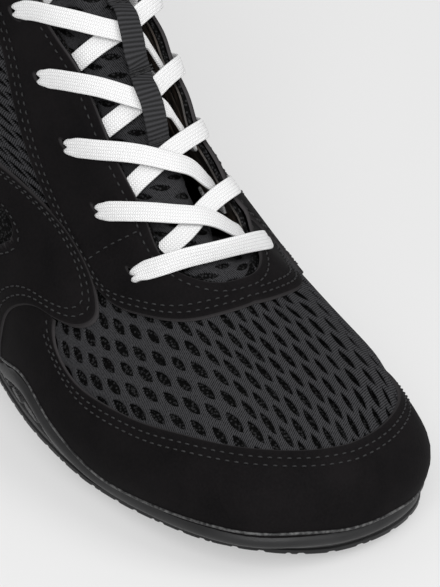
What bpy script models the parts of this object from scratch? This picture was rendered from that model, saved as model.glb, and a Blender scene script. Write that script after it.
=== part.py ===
"""Boxing shoe for the left foot: low cupped sole, hollow last-shaped upper, tongue, overlays, flat lace.

The upper is a skin over a last. The last is a stack of closed, tilted rings: each ring starts at the
front centre line, runs back along both sides and closes behind the heel. A place on the skin is given
by its climb (millimetres up the front centre line, 0 at the second ring) and its girth (millimetres
along the ring from the front centre line, negative on the inner side of the foot).
World axes: +X to the toe, +Y to the outer side of the foot, +Z up, origin under the heel's flat spot.
"""
import bpy
import bmesh
import functools
import math
import numpy as np

# Driving sizes, in millimetres
LENGTH = 285.0
BALL_WIDTH = 97.0
INSTEP = 91.0
HEEL_HEIGHT = 144.0
HEEL_CENTRE = 42.0

WALL = 2.0
GAP = 0.4
OVERLAY_GAP = 0.75
OVERLAY = 1.2
TONGUE_THICK = 3.0
INSOLE_THICK = 3.0
INSOLE_FLARE = 3.0

# Throat, eyelets and lace
THROAT_HALF = 14.5
EYELET_GIRTH = 32.0
EYELET_RADIUS = 2.2
EYELET_PAIRS = 8
EYELET_FIRST = 75.0
EYELET_PITCH = 19.4
THROAT_BASE = 81.6
COLLAR = 226.0
LACE_WIDTH = 6.0
LACE_THICK = 1.2
LACE_RIDE = OVERLAY_GAP + OVERLAY + GAP
KEEPER_WIDTH = 7.0
KEEPER_THICK = 1.0

# Sole
TOE_SPRING = 5.2
SPRING_START = 222.0
ARCH_SPAN = (85.0, 160.0)
ARCH_INNER = 3.0
ARCH_OUTER = 1.5
HEEL_BEVEL = 14.0
HEEL_LIFT = 2.0

# Sections of the last, one ring a row, from the edge tucked into the sole up to the collar.
# x columns are per cent of LENGTH, half widths per cent of BALL_WIDTH, front, ball and waist
# heights per cent of INSTEP, back heights per cent of HEEL_HEIGHT; lean (towards the inner side),
# drop and narrow (of the outer side) are millimetres.
COLUMNS = ("front_x", "front_z", "lean", "drop", "narrow", "toe_w", "ball_w", "waist_w", "heel_w",
           "back_x", "ball_z", "waist_z", "back_z")
SECTIONS = (
    (96.6, 7.4, 0.0, 0.0, 7.0, 33.0, 39.5, 27.5, 26.0, 3.8, 5.6, 7.0, 4.6),
    (99.3, 11.0, 0.0, 0.0, 9.0, 39.6, 46.0, 31.2, 29.2, 1.9, 8.8, 9.9, 6.9),
    (100.0, 19.8, 0.0, 3.0, 10.5, 43.3, 50.0, 34.5, 32.5, 0.7, 18.1, 19.8, 13.9),
    (98.8, 29.1, 0.0, 6.5, 10.8, 41.8, 49.0, 35.1, 33.0, 0.2, 27.5, 29.7, 20.5),
    (95.3, 37.4, 0.0, 6.0, 10.0, 37.6, 45.9, 34.5, 32.5, 0.2, 36.8, 39.6, 26.7),
    (90.2, 44.0, 0.0, 4.8, 8.2, 31.4, 41.8, 34.0, 32.0, 0.7, 46.2, 49.5, 33.0),
    (84.6, 50.0, 1.0, 3.5, 7.0, 26.8, 37.6, 33.0, 30.9, 1.6, 55.5, 59.3, 38.9),
    (78.9, 58.2, 2.5, 5.0, 7.5, 23.2, 34.0, 32.0, 29.9, 2.8, 64.8, 69.2, 45.1),
    (71.2, 75.3, 5.0, 6.0, 8.5, 20.6, 31.4, 31.4, 28.9, 3.9, 80.2, 83.5, 53.1),
    (63.9, 100.0, 6.0, 5.5, 8.5, 19.6, 29.9, 32.0, 28.4, 4.6, 100.0, 100.0, 61.8),
    (57.2, 125.3, 6.0, 3.5, 8.0, 19.6, 29.4, 33.5, 27.8, 4.6, 122.0, 118.7, 72.2),
    (51.6, 152.7, 5.0, 1.5, 6.5, 20.1, 29.9, 34.5, 28.4, 3.9, 147.3, 140.7, 84.7),
    (47.0, 181.3, 3.5, 0.0, 5.0, 20.6, 30.9, 35.6, 28.9, 2.8, 172.5, 164.8, 100.0),
)
ZERO_ROW = 1

# Swing of the last: sideways place of its centre line along its length, per cent of LENGTH and mm
SWING_X = (0.0, 21.0, 40.0, 60.0, 75.0, 88.0, 100.0)
SWING_Y = (0.0, 1.0, 3.0, 2.0, 0.0, -2.0, -4.0)

# Stations round a ring, as parts of its length from the back, and what the outer side takes there
STATION = {"seat": 0.035, "heel": 0.12, "waist": 0.42, "ball": 0.68, "toe": 0.88, "tip": 0.965}
BALL_SKEW = 0.035
SKEW_SPAN = 200.0
TIP_WIDTH = 0.68
SEAT_WIDTH = 0.66
OUTER_SHARE = {"seat": 0.0, "heel": 0.0, "waist": 0.4, "ball": 1.0, "toe": 0.74, "tip": 0.3}
RING_SAMPLES = 480
CHORD_POWER = 0.75

MATERIALS = {
    "air mesh": ((0.042, 0.043, 0.045), 0.85),
    "nubuck": ((0.011, 0.010, 0.011), 0.75),
    "sole rubber": ((0.045, 0.046, 0.047), 0.6),
    "foam": ((0.03, 0.03, 0.03), 0.9),
    "lace braid": ((0.85, 0.85, 0.85), 0.8),
    "webbing": ((0.035, 0.036, 0.038), 0.8),
}


class Spline:
    """Natural cubic through rows of values at rising knots."""

    def __init__(self, knots, values):
        self.knots = np.asarray(knots, float)
        self.values = np.asarray(values, float)
        count = len(self.knots)
        step = np.diff(self.knots)
        flat = self.values.reshape(count, -1)
        matrix = np.eye(count)
        right = np.zeros_like(flat)
        for i in range(1, count - 1):
            matrix[i, i - 1:i + 2] = step[i - 1], 2 * (step[i - 1] + step[i]), step[i]
            right[i] = 6 * ((flat[i + 1] - flat[i]) / step[i] - (flat[i] - flat[i - 1]) / step[i - 1])
        self.bend = np.linalg.solve(matrix, right).reshape(self.values.shape)

    def __call__(self, at):
        i = int(np.clip(np.searchsorted(self.knots, at) - 1, 0, len(self.knots) - 2))
        step = self.knots[i + 1] - self.knots[i]
        low = self.knots[i + 1] - at
        high = at - self.knots[i]
        v, m = self.values, self.bend
        curve = (m[i] * low ** 3 + m[i + 1] * high ** 3) / (6 * step)
        return curve + (v[i] / step - m[i] * step / 6) * low + (v[i + 1] / step - m[i + 1] * step / 6) * high


SWING = Spline([LENGTH * x / 100 for x in SWING_X], SWING_Y)


def ring_points(section):
    """The corner points of one ring: front centre, inner side to the back, outer side to the front."""
    row = dict(zip(COLUMNS, section))
    front = LENGTH * row["front_x"] / 100
    back = LENGTH * row["back_x"] / 100
    span = front - back
    heights = [HEEL_HEIGHT * row["back_z"] / 100]
    heights += [INSTEP * row[key] / 100 for key in ("waist_z", "ball_z", "front_z")]
    height = Spline([0.0, STATION["waist"], STATION["ball"], 1.0], heights)
    width = {key: BALL_WIDTH * row[key + "_w"] / 100 for key in ("heel", "waist", "ball", "toe")}
    width["tip"] = TIP_WIDTH * width["toe"]
    width["seat"] = SEAT_WIDTH * width["heel"]
    skew = BALL_SKEW * min(1.0, span / SKEW_SPAN)

    def corner(key, side):
        part = STATION[key] - side * skew * (key == "ball")
        x = back + span * part
        outer = OUTER_SHARE[key] * (side > 0)
        y = SWING(x) + side * width[key] - row["narrow"] * outer - lean(part)
        return x, y, height(part) - row["drop"] * outer

    def lean(part):
        reach = (part - STATION["waist"]) / (STATION["toe"] - STATION["waist"])
        return row["lean"] * min(max(reach, 0.0), 1.0)

    keys = ("tip", "toe", "ball", "waist", "heel", "seat")
    points = [(front, SWING(front) - row["lean"], height(1.0))]
    points += [corner(key, -1) for key in keys]
    points += [(back, SWING(back), height(0.0))]
    points += [corner(key, 1) for key in reversed(keys)]
    return np.array(points)


def closed_curve(points):
    """Smooth closed curve through the points, sampled from the first one round to it again."""
    count = len(points)
    wrapped = np.vstack([points, points, points, points[:1]])
    steps = np.linalg.norm(np.diff(wrapped, axis=0), axis=1) ** CHORD_POWER
    knots = np.concatenate([[0.0], np.cumsum(steps)])
    curve = Spline(knots, wrapped)
    return np.array([curve(t) for t in np.linspace(knots[count], knots[2 * count], RING_SAMPLES + 1)])


RINGS = np.array([closed_curve(ring_points(section)) for section in SECTIONS])
RISE = np.linalg.norm(np.diff(RINGS[:, 0], axis=0), axis=1)
CLIMBS = np.concatenate([[0.0], np.cumsum(RISE)])
CLIMBS = CLIMBS - CLIMBS[ZERO_ROW]
TUCK = CLIMBS[0]
LAST = Spline(CLIMBS, RINGS)


@functools.lru_cache(maxsize=4000)
def ring(climb):
    """Points of the ring at a climb, with the distance of each from the front centre line."""
    points = LAST(climb)
    steps = np.linalg.norm(np.diff(points, axis=0), axis=1)
    return points, np.concatenate([[0.0], np.cumsum(steps)])


def half_girth(climb, side):
    """Distance along the ring from the front centre line to the back one."""
    points, run = ring(round(climb, 3))
    back = run[int(np.argmin(points[:, 0]))]
    return back if side < 0 else run[-1] - back


def girth_at(climb, x, side):
    """Signed girth of the place on one side of a ring that lies x from the heel."""
    points, run = ring(round(climb, 3))
    back = int(np.argmin(points[:, 0]))
    if side < 0:
        return -np.interp(-x, -points[:back + 1, 0], run[:back + 1])
    return run[-1] - np.interp(x, points[back:, 0], run[back:])


def on_last(climb, girth):
    points, run = ring(round(climb, 3))
    at = -girth % run[-1]
    return np.array([np.interp(at, run, points[:, k]) for k in range(3)])


def skin(climb, girth, off=0.0):
    """A point at a distance off the skin, outward."""
    point = on_last(climb, girth)
    if off == 0.0:
        return point
    along = on_last(climb, girth + 1) - on_last(climb, girth - 1)
    up = on_last(climb + 1, girth) - on_last(climb - 1, girth)
    normal = np.cross(along, up)
    return point + off * normal / np.linalg.norm(normal)


def world(point):
    return (point[0] - HEEL_CENTRE) / 1000, point[1] / 1000, point[2] / 1000


def material(name):
    found = bpy.data.materials.get(name)
    if found:
        return found
    colour, roughness = MATERIALS[name]
    made = bpy.data.materials.new(name)
    made.use_nodes = True
    shader = made.node_tree.nodes["Principled BSDF"]
    shader.inputs["Base Color"].default_value = (*colour, 1.0)
    shader.inputs["Roughness"].default_value = roughness
    shader.inputs["Metallic"].default_value = 0.0
    return made


def add_object(name, bm, material_name):
    mesh = bpy.data.meshes.new(name)
    bm.to_mesh(mesh)
    bm.free()
    mesh.shade_smooth()
    mesh.set_sharp_from_angle(angle=math.radians(40))
    mesh.materials.append(material(material_name))
    made = bpy.data.objects.new(name, mesh)
    bpy.context.scene.collection.objects.link(made)
    return made


def thicken(made, thickness, outward):
    """Give a sheet its thickness, outward or inward from where it lies."""
    solid = made.modifiers.new("thickness", "SOLIDIFY")
    solid.thickness = thickness / 1000
    solid.offset = 1.0 if outward else -1.0
    solid.use_even_offset = True
    solid.use_rim = True


def punch(bm, grid, level, column, radius):
    """Replace a grid corner by an eight-sided hole of the radius."""
    centre = grid[level][column]
    around = ((-1, -1), (-1, 0), (-1, 1), (0, 1), (1, 1), (1, 0), (1, -1), (0, -1))
    outer = [grid[level + i][column + j] for i, j in around]
    middle = centre.co.copy()
    bmesh.ops.delete(bm, geom=[centre], context="VERTS")
    hole = [bm.verts.new(middle + (v.co - middle).normalized() * radius / 1000) for v in outer]
    for k in range(8):
        n = (k + 1) % 8
        bm.faces.new((outer[k], outer[n], hole[n], hole[k]))


def sheet(points, closed=False, open_at=None):
    """Quad sheet over rows of points; open_at(level, column) leaves a cell out."""
    bm = bmesh.new()
    grid = [[bm.verts.new(world(p)) for p in row] for row in points]
    columns = len(points[0])
    for i in range(len(points) - 1):
        for j in range(columns if closed else columns - 1):
            n = (j + 1) % columns
            if open_at and open_at(i, j):
                continue
            bm.faces.new((grid[i][j], grid[i][n], grid[i + 1][n], grid[i + 1][j]))
    return bm, grid


# Columns of the upper's grid: fixed girths round the throat, then shares of the way to the back,
# closer together round the toe and the heel than along the side
FRONT_GIRTHS = (0.0, 8.0, THROAT_HALF, 23.0, EYELET_GIRTH, 42.0, 53.0)
COLUMN_COUNT = 20
SIDE_EASE = 0.3


def column_girth(column, climb):
    index = abs(column)
    side = -1 if column < 0 else 1
    fixed = len(FRONT_GIRTHS) - 1
    if index <= fixed:
        return side * FRONT_GIRTHS[index]
    part = (index - fixed) / (COLUMN_COUNT - fixed)
    share = part - SIDE_EASE * math.sin(2 * math.pi * part) / (2 * math.pi)
    return side * (FRONT_GIRTHS[-1] + (half_girth(climb, side) - FRONT_GIRTHS[-1]) * share)


RING_COLUMNS = range(1 - COLUMN_COUNT, COLUMN_COUNT + 1)
LOW_LEVELS = (TUCK, 0.0, 5.0, 10.0, 15.0, 20.0, 25.0, 31.0, 38.0, 46.0, 54.0, 63.0)
HALF_PITCHES = tuple(EYELET_FIRST + EYELET_PITCH / 2 * k for k in range(2, 2 * EYELET_PAIRS))
LEVELS = LOW_LEVELS + (EYELET_FIRST, THROAT_BASE) + HALF_PITCHES + (COLLAR,)


def eyelet_climb(pair):
    return EYELET_FIRST + EYELET_PITCH * pair


def build_upper():
    points = [[skin(c, column_girth(k, c)) for k in RING_COLUMNS] for c in LEVELS]
    throat = FRONT_GIRTHS.index(THROAT_HALF)
    zero = COLUMN_COUNT - 1

    def in_throat(level, column):
        return LEVELS[level] > THROAT_BASE - 0.1 and -throat <= column - zero < throat

    bm, grid = sheet(points, closed=True, open_at=in_throat)
    eyelet = FRONT_GIRTHS.index(EYELET_GIRTH)
    for pair in range(EYELET_PAIRS):
        level = LEVELS.index(eyelet_climb(pair))
        for side in (-1, 1):
            punch(bm, grid, level, zero + side * eyelet, EYELET_RADIUS)
    loose = [v for v in bm.verts if not v.link_faces]
    bmesh.ops.delete(bm, geom=loose, context="VERTS")
    thicken(add_object("upper", bm, "air mesh"), WALL, outward=False)


def build_tongue():
    under = -WALL - GAP
    girths = (-23.0, -THROAT_HALF, -8.0, 0.0, 8.0, THROAT_HALF, 23.0)
    levels = LEVELS[LEVELS.index(63.0):] + (COLLAR + 10.0,)
    bm, _ = sheet([[skin(c, g, under) for g in girths] for c in levels])
    thicken(add_object("tongue", bm, "air mesh"), TONGUE_THICK, outward=False)


# Sole and insole. The sole is a cup round the lower edge of the upper. The climb of its rim goes by
# distance from the heel and is highest at the inner ball.
RIM = (
    ("x", "inner", "outer"),
    (0.0, 3.0, 3.0),
    (40.0, 3.4, 3.4),
    (90.0, 4.6, 4.2),
    (140.0, 6.6, 5.0),
    (165.0, 8.2, 5.4),
    (180.0, 10.0, 5.6),
    (189.0, 12.8, 5.4),
    (196.0, 14.0, 5.0),
    (202.0, 13.0, 4.5),
    (209.0, 10.2, 3.9),
    (216.0, 8.0, 3.3),
    (223.0, 5.7, 2.7),
    (230.0, 4.1, 2.2),
    (238.0, 4.2, 1.8),
    (251.0, 5.2, 1.4),
    (266.0, 6.0, 1.2),
    (277.0, 5.7, 1.1),
    (282.0, 4.8, 1.2),
    (LENGTH, 2.4, 2.4),
)
RIM_TABLE = Spline([row[0] for row in RIM[1:]], [row[1:] for row in RIM[1:]])


def rim_climb(x, side):
    """Climb of the sole's rim on the upper."""
    return RIM_TABLE(x)[0 if side < 0 else 1]


def rim_climbs():
    """Climb of the rim at the grid's columns."""
    return np.array([rim_climb(on_last(0.0, column_girth(k, 0.0))[0], k) for k in RING_COLUMNS])


def skin_ring(climbs, off):
    """Places off the skin at the grid's columns, with a climb for each."""
    return np.array([skin(c, column_girth(k, c), off) for k, c in zip(RING_COLUMNS, climbs)])


def outline(climb):
    """Ring points at the grid's columns with their outward directions in plan."""
    points = np.array([on_last(climb, column_girth(k, climb)) for k in RING_COLUMNS])
    along = np.roll(points, -1, axis=0) - np.roll(points, 1, axis=0)
    outward = np.stack([along[:, 1], -along[:, 0]], axis=1)
    return points, outward / np.linalg.norm(outward, axis=1, keepdims=True)


def offset_ring(climb, off):
    points, outward = outline(climb)
    moved = points.copy()
    moved[:, :2] += off * outward
    return moved


def bottom_height(x, side):
    """Height of the sole's underside: flat heel and forefoot, arch between, spring at the toe."""
    spring = max(0.0, (x - SPRING_START) / (LENGTH - SPRING_START))
    bevel = max(0.0, (HEEL_BEVEL - x) / HEEL_BEVEL)
    back, front = ARCH_SPAN
    along = min(max((x - back) / (front - back), 0.0), 1.0)
    arch = math.sin(math.pi * along) ** 2
    rise = ARCH_OUTER + (ARCH_INNER - ARCH_OUTER) * (1 - side) / 2
    return TOE_SPRING * spring ** 2 + HEEL_LIFT * bevel ** 2 + rise * arch


def cap(bm, loop, height, facing_up, across=4):
    """Close a loop of ring vertices by strips that join the two sides, column by column."""
    zero = COLUMN_COUNT - 1
    rows = [[loop[zero]]]
    for k in range(1, COLUMN_COUNT):
        inner, outer = loop[zero - k], loop[zero + k]
        row = [inner]
        for step in range(1, across):
            point = inner.co.lerp(outer.co, step / across)
            point.z = height(point, 2 * step / across - 1)
            row.append(bm.verts.new(point))
        rows.append(row + [outer])
    rows.append([loop[-1]])
    for low, high in zip(rows, rows[1:]):
        for step in range(across):
            corners = [low[min(step, len(low) - 1)], low[min(step + 1, len(low) - 1)],
                       high[min(step + 1, len(high) - 1)], high[min(step, len(high) - 1)]]
            corners = list(dict.fromkeys(corners))
            bm.faces.new(corners if facing_up else corners[::-1])


def stack(rings):
    """Bands of quads between closed rings of points, given from the bottom edge upward and in."""
    bm = bmesh.new()
    loops = [[bm.verts.new(world(p)) for p in points] for points in rings]
    count = len(loops[0])
    for low, high in zip(loops, loops[1:]):
        for j in range(count):
            n = (j + 1) % count
            bm.faces.new((low[j], low[n], high[n], high[j]))
    return bm, loops


CUP_GAP = 0.55

# The sole's side, one ring a row: share of the way from the upper's lower edge to a place so far
# below the rim, that distance, and the distance off the skin
SOLE_SIDE = (
    ("hull", 0.45, 5.0, 2.6),
    ("hull top", 1.0, 5.0, 1.7),
    ("groove", 1.0, 4.1, 1.3),
    ("bead underside", 1.0, 3.6, 2.3),
    ("bead low", 1.0, 2.8, 2.9),
    ("bead high", 1.0, 1.0, 2.8),
    ("lip edge", 1.0, 0.2, 2.0),
    ("rim", 1.0, 0.0, CUP_GAP),
    ("cup high", 0.8, 0.0, CUP_GAP),
    ("cup", 0.6, 0.0, CUP_GAP),
    ("cup low", 0.4, 0.0, CUP_GAP),
    ("cup bottom", 0.2, 0.0, CUP_GAP),
)
TREAD_OFF = 0.5

# The floor of the cup passes under the upper's edge and rises inside it: plan offset and height
FLOOR_STEP = ((0.0, -CUP_GAP), (-3.0, -CUP_GAP), (-3.4, WALL))


def build_outsole():
    rim = rim_climbs()
    tread = offset_ring(TUCK, TREAD_OFF)
    tread[:, 2] = [bottom_height(x, math.copysign(1, y)) for x, y, _ in tread]
    rings = [tread]
    rings += [skin_ring(TUCK + (rim - below - TUCK) * share, off) for _, share, below, off in SOLE_SIDE]
    for off, up in FLOOR_STEP:
        floor = offset_ring(TUCK, off)
        floor[:, 2] += up
        rings.append(floor)
    bm, loops = stack(rings)

    def underside(point, side):
        return bottom_height(point.x * 1000 + HEEL_CENTRE, side) / 1000

    cap(bm, loops[0], underside, facing_up=False)
    cap(bm, loops[-1], lambda point, side: point.z, facing_up=True)
    add_object("outsole", bm, "sole rubber")


def build_insole():
    low = skin_ring(np.full(len(RING_COLUMNS), TUCK), -WALL - GAP)
    high = skin_ring(np.full(len(RING_COLUMNS), TUCK + INSOLE_FLARE), -WALL - GAP)
    high[:, 2] = low[:, 2] + INSOLE_THICK
    bm, loops = stack([low, high])
    cap(bm, loops[0], lambda point, side: point.z, facing_up=False)
    cap(bm, loops[1], lambda point, side: point.z, facing_up=True)
    add_object("insole", bm, "foam")


# Overlays: sheets over rows of (climb, girth) places, thickened outward
def add_overlay(name, rows):
    bm, _ = sheet([[skin(climb, girth, OVERLAY_GAP) for climb, girth in row] for row in rows])
    thicken(add_object(name, bm, "nubuck"), OVERLAY, outward=True)


def blend(low, high, cells):
    """Shares of the way from one climb to another."""
    return [low + (high - low) * k / cells for k in range(cells + 1)]


# Edges along the side, by distance from the heel: top of the rand, lower and upper edge of the saddle
FOOT = 1.5
SIDE_EDGES = (
    ("x", "rand_top", "saddle_low", "saddle_high"),
    (207.0, 28.0, 43.0, 51.5),
    (203.5, 30.5, 41.8, 55.0),
    (199.5, 35.5, 40.6, 58.5),
    (195.0, 38.2, 39.6, 62.5),
    (190.0, 38.0, 39.4, 66.5),
    (185.5, 36.0, 37.4, 70.0),
    (181.0, 29.6, 31.2, 74.0),
    (176.5, 21.5, 23.1, 77.5),
    (172.5, 14.0, 15.6, 81.0),
    (165.0, None, None, 82.8),
    (155.0, None, None, 84.0),
    (142.0, None, None, 84.0),
    (130.0, None, None, 83.5),
    (119.0, None, None, 83.0),
)
RAND_GIRTHS = FRONT_GIRTHS + (62.0, 70.0, 77.0)
RAND_TOP = Spline((0, 30, 60, 77), (25.0, 26.5, 24.5, 25.0))
RAND_CELLS = 5
SADDLE_CELLS = 9


def foot_climb(x, side):
    """Climb where an overlay starts above the sole's rim."""
    return rim_climb(x, side) + FOOT


def build_toe_rand():
    columns = []
    for girth in [-g for g in RAND_GIRTHS[:0:-1]] + list(RAND_GIRTHS):
        foot = foot_climb(on_last(0.0, girth)[0], girth)
        columns.append([(c, girth) for c in blend(foot, RAND_TOP(abs(girth)), RAND_CELLS)])
    for x, top, _, _ in SIDE_EDGES[1:]:
        if top is not None:
            for side in (-1, 1):
                climbs = blend(foot_climb(x, side), top, RAND_CELLS)
                columns.insert(0 if side < 0 else len(columns), [(c, girth_at(c, x, side)) for c in climbs])
    add_overlay("toe_rand", list(zip(*columns)))


def build_saddle(name, side):
    columns = []
    for x, _, low, high in SIDE_EDGES[1:]:
        low = foot_climb(x, side) if low is None else low
        columns.append([(c, girth_at(c, x, side)) for c in blend(low, high, SADDLE_CELLS)])
    if side < 0:
        columns.reverse()
    add_overlay(name, list(zip(*columns)))


# Heel counter: the upper's own columns round the back, and its top climb at shares of the half girth
COUNTER_FIRST = 15
COUNTER_TOP = Spline((0.68, 0.80, 0.91, 1.0), (14.0, 52.0, 82.0, 92.0))
COUNTER_CELLS = 12


def build_heel_counter():
    side_columns = list(range(COUNTER_FIRST, COLUMN_COUNT + 1))
    columns = []
    for k in side_columns + [-k for k in side_columns[-2::-1]]:
        foot = foot_climb(on_last(0.0, column_girth(k, 0.0))[0], k)
        share = abs(column_girth(k, foot)) / half_girth(foot, math.copysign(1, k))
        climbs = blend(foot, COUNTER_TOP(share), COUNTER_CELLS)
        columns.append([(c, column_girth(k, c)) for c in climbs])
    add_overlay("heel_counter", list(zip(*columns)))


# Collar band: its width, the girth where it starts behind the eyestay, and stations a side
BAND_WIDTH = 12.0
BAND_START = 46.0
BAND_STATIONS = 14


def build_collar_band():
    columns = []
    for side in (1, -1):
        start = BAND_START / half_girth(COLLAR, side)
        shares = np.linspace(start, 1.0, BAND_STATIONS)
        for share in shares if side > 0 else shares[-2::-1]:
            climbs = blend(COLLAR - BAND_WIDTH, COLLAR - 0.5, 2)
            columns.append([(c, side * share * half_girth(c, side)) for c in climbs])
    add_overlay("collar_band", list(zip(*columns)))


# Eyestay: stations from the middle of its front edge round one corner and up to the second eyelet.
# Inner edge, eyelet line and outer edge, each as girth and climb.
EYESTAY_INNER = THROAT_HALF + 0.2
EYESTAY = (
    ("inner_g", "inner_c", "middle_g", "middle_c", "outer_g", "outer_c"),
    (0.0, 80.4, 0.0, 75.8, 0.0, 71.0),
    (5.0, 80.4, 7.0, 75.2, 9.0, 70.0),
    (10.0, 80.5, 14.0, 73.6, 18.0, 66.8),
    (13.2, 81.2, 21.0, 73.2, 30.0, 62.6),
    (EYESTAY_INNER, 83.0, 26.5, 74.0, 42.0, 58.6),
    (EYESTAY_INNER, 87.0, EYELET_GIRTH, EYELET_FIRST, 52.5, 57.2),
    (EYESTAY_INNER, 91.0, EYELET_GIRTH, 80.5, 56.0, 63.0),
    (EYESTAY_INNER, 95.5, EYELET_GIRTH, 87.0, 56.4, 74.0),
)
EYESTAY_OUTER = Spline((80.0, 100.0, 136.0, 180.0, 226.0), (56.6, 54.0, 47.0, 44.0, 43.0))
EYESTAY_SLANT = 8.0


def build_eyestay():
    side_rows = list(EYESTAY[1:])
    for level in HALF_PITCHES + (COLLAR,):
        fade = min(1.0, (COLLAR - level) / EYELET_PITCH)
        inner = level + fade * EYESTAY_SLANT
        outer = level - fade * EYESTAY_SLANT
        side_rows.append((EYESTAY_INNER, inner, EYELET_GIRTH, level, EYESTAY_OUTER(outer), outer))
    half = []
    for inner_g, inner_c, middle_g, middle_c, outer_g, outer_c in side_rows:
        inner = np.array((inner_g, inner_c))
        middle = np.array((middle_g, middle_c))
        outer = np.array((outer_g, outer_c))
        half.append((inner, (inner + middle) / 2, middle, (middle + outer) / 2, outer))
    both = [[p * (-1, 1) for p in station] for station in half[:0:-1]] + half
    points = [[skin(station[k][1], station[k][0], OVERLAY_GAP) for station in both] for k in range(4, -1, -1)]
    bm, grid = sheet(points)
    centre = len(half) - 1
    first = [row[3] for row in side_rows].index(EYELET_FIRST)
    for pair in range(EYELET_PAIRS):
        step = first if pair == 0 else len(EYESTAY) - 1 + 2 * (pair - 1)
        for side in (-1, 1):
            punch(bm, grid, 2, centre + side * step, EYELET_RADIUS)
    thicken(add_object("eyestay", bm, "nubuck"), OVERLAY, outward=True)


# Lace: ribbons laid square to the skin
def ribbon(path, width, thickness, steps):
    """Ribbon through (girth, climb, off) knots, its underside on the path."""
    knots = np.linspace(0.0, 1.0, len(path))
    curve = Spline(knots, path)
    bm = bmesh.new()
    loops = []
    for t in np.linspace(0.0, 1.0, steps + 1):
        girth, climb, off = curve(t)
        ahead = curve(t + 0.01)
        behind = curve(t - 0.01)
        point = skin(climb, girth, off)
        run = skin(ahead[1], ahead[0], ahead[2]) - skin(behind[1], behind[0], behind[2])
        run = run / np.linalg.norm(run)
        normal = skin(climb, girth, off + 1) - point
        across = np.cross(normal, run)
        across = across / np.linalg.norm(across)
        normal = np.cross(run, across)
        corners = [point + across * width / 2 * a + normal * thickness * b
                   for a, b in ((-1, 0), (1, 0), (1, 1), (-1, 1))]
        loops.append([bm.verts.new(world(p)) for p in corners])
    for low, high in zip(loops, loops[1:]):
        for k in range(4):
            n = (k + 1) % 4
            bm.faces.new((low[k], high[k], high[n], low[n]))
    bm.faces.new(loops[0])
    bm.faces.new(loops[-1][::-1])
    bmesh.ops.recalc_face_normals(bm, faces=bm.faces)
    return bm


# Girths where the lace goes in at an eyelet and comes out from under the eyestay, and how far a line
# square across the throat climbs from eyelet to middle, less for each pair
LACE_END = EYELET_GIRTH - EYELET_RADIUS - 0.6
LACE_START = THROAT_HALF - 2.5
SQUARE_DROP = 14.0
SQUARE_FADE = 0.9


def square(pair, girth):
    """Climb on a line square across the throat through a pair of eyelets."""
    drop = SQUARE_DROP - SQUARE_FADE * pair
    return eyelet_climb(pair) + drop * (1 - (abs(girth) / EYELET_GIRTH) ** 1.5)


def build_lace_bar():
    girths = (-LACE_END, -24.0, -THROAT_HALF, 0.0, THROAT_HALF, 24.0, LACE_END)
    rise = (0.0, 0.0, 0.2, 0.6, 0.2, 0.0, 0.0)
    path = [(g, square(0, g), LACE_RIDE + r) for g, r in zip(girths, rise)]
    add_object("lace_bar", ribbon(path, LACE_WIDTH, LACE_THICK, 14), "lace braid")


# A crossing's run: girth towards the side it goes to, pairs up, climb from that pair's square line in
# pitches, height off the skin, and the share it takes of the lift over the other lace
CROSSING = (
    ("girth", "up", "pitches", "off", "share"),
    (-LACE_START, 0, 0.18, -WALL + 0.4, 0.0),
    (-LACE_START / 2, 0, 0.30, -0.9, 0.5),
    (0.0, 0, 0.52, 0.3, 1.0),
    (THROAT_HALF / 2, 1, -0.28, 1.5, 0.5),
    (THROAT_HALF, 1, -0.14, LACE_RIDE + 0.2, 0.0),
    (24.0, 1, -0.03, LACE_RIDE, 0.0),
    (LACE_END, 1, 0.0, LACE_RIDE, 0.0),
)
CROSSING_LIFT = 0.7
CROSSING_STEPS = 10


def crossing(pair, side, lift):
    """From under the eyestay's edge on one side, over the throat, to the next eyelet across."""
    path = [(side * girth, square(pair + up, girth) + EYELET_PITCH * pitches, off + lift * share)
            for girth, up, pitches, off, share in CROSSING[1:]]
    return ribbon(path, LACE_WIDTH, LACE_THICK, CROSSING_STEPS)


def build_lace_cross(pair):
    under = crossing(pair, 1, 0.0)
    over = crossing(pair, -1, CROSSING_LIFT)
    made = add_object(f"lace_cross_{pair + 1}", under, "lace braid")
    other = add_object(f"lace_over_{pair + 1}", over, "lace braid")
    other.hide_render = True
    other.display_type = "WIRE"
    join = made.modifiers.new("join", "BOOLEAN")
    join.operation = "UNION"
    join.object = other


# The keeper's run: millimetres up from its lower tack, and height of its underside off the skin
KEEPER_RUN = (
    ("rise", "off"),
    (-2.5, -1.5), (0.8, -1.5), (4.0, 3.0), (7.0, 4.6), (10.0, 5.0), (13.0, 4.6), (16.2, 3.2), (19.6, 1.2),
    (23.0, 3.2), (26.0, 4.6), (29.2, 5.0), (31.8, 4.6), (34.2, 3.0), (36.6, -1.0), (38.6, -1.5),
)
KEEPER_GIRTH = 2.0


def build_lace_keeper():
    """Webbing strap on the tongue, tacked down at both ends, over two crossings of the lace."""
    start = square(2, 0.0)
    path = [(KEEPER_GIRTH, start + rise, off) for rise, off in KEEPER_RUN[1:]]
    add_object("lace_keeper", ribbon(path, KEEPER_WIDTH, KEEPER_THICK, 28), "webbing")


for old in list(bpy.data.objects):
    bpy.data.objects.remove(old, do_unlink=True)

build_outsole()
build_insole()
build_upper()
build_tongue()
build_toe_rand()
build_saddle("saddle_inner", -1)
build_saddle("saddle_outer", 1)
build_heel_counter()
build_collar_band()
build_eyestay()
build_lace_bar()
for cross in range(EYELET_PAIRS - 1):
    build_lace_cross(cross)
build_lace_keeper()
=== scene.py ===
# %% [markdown]
# # A boxing shoe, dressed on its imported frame
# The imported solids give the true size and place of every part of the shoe. This lesson keeps that
# frame and puts the finish on it: knitted air mesh with real holes, nubuck overlays with sewn edges,
# a braided flat lace, webbing and a moulded rubber sole.

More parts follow.
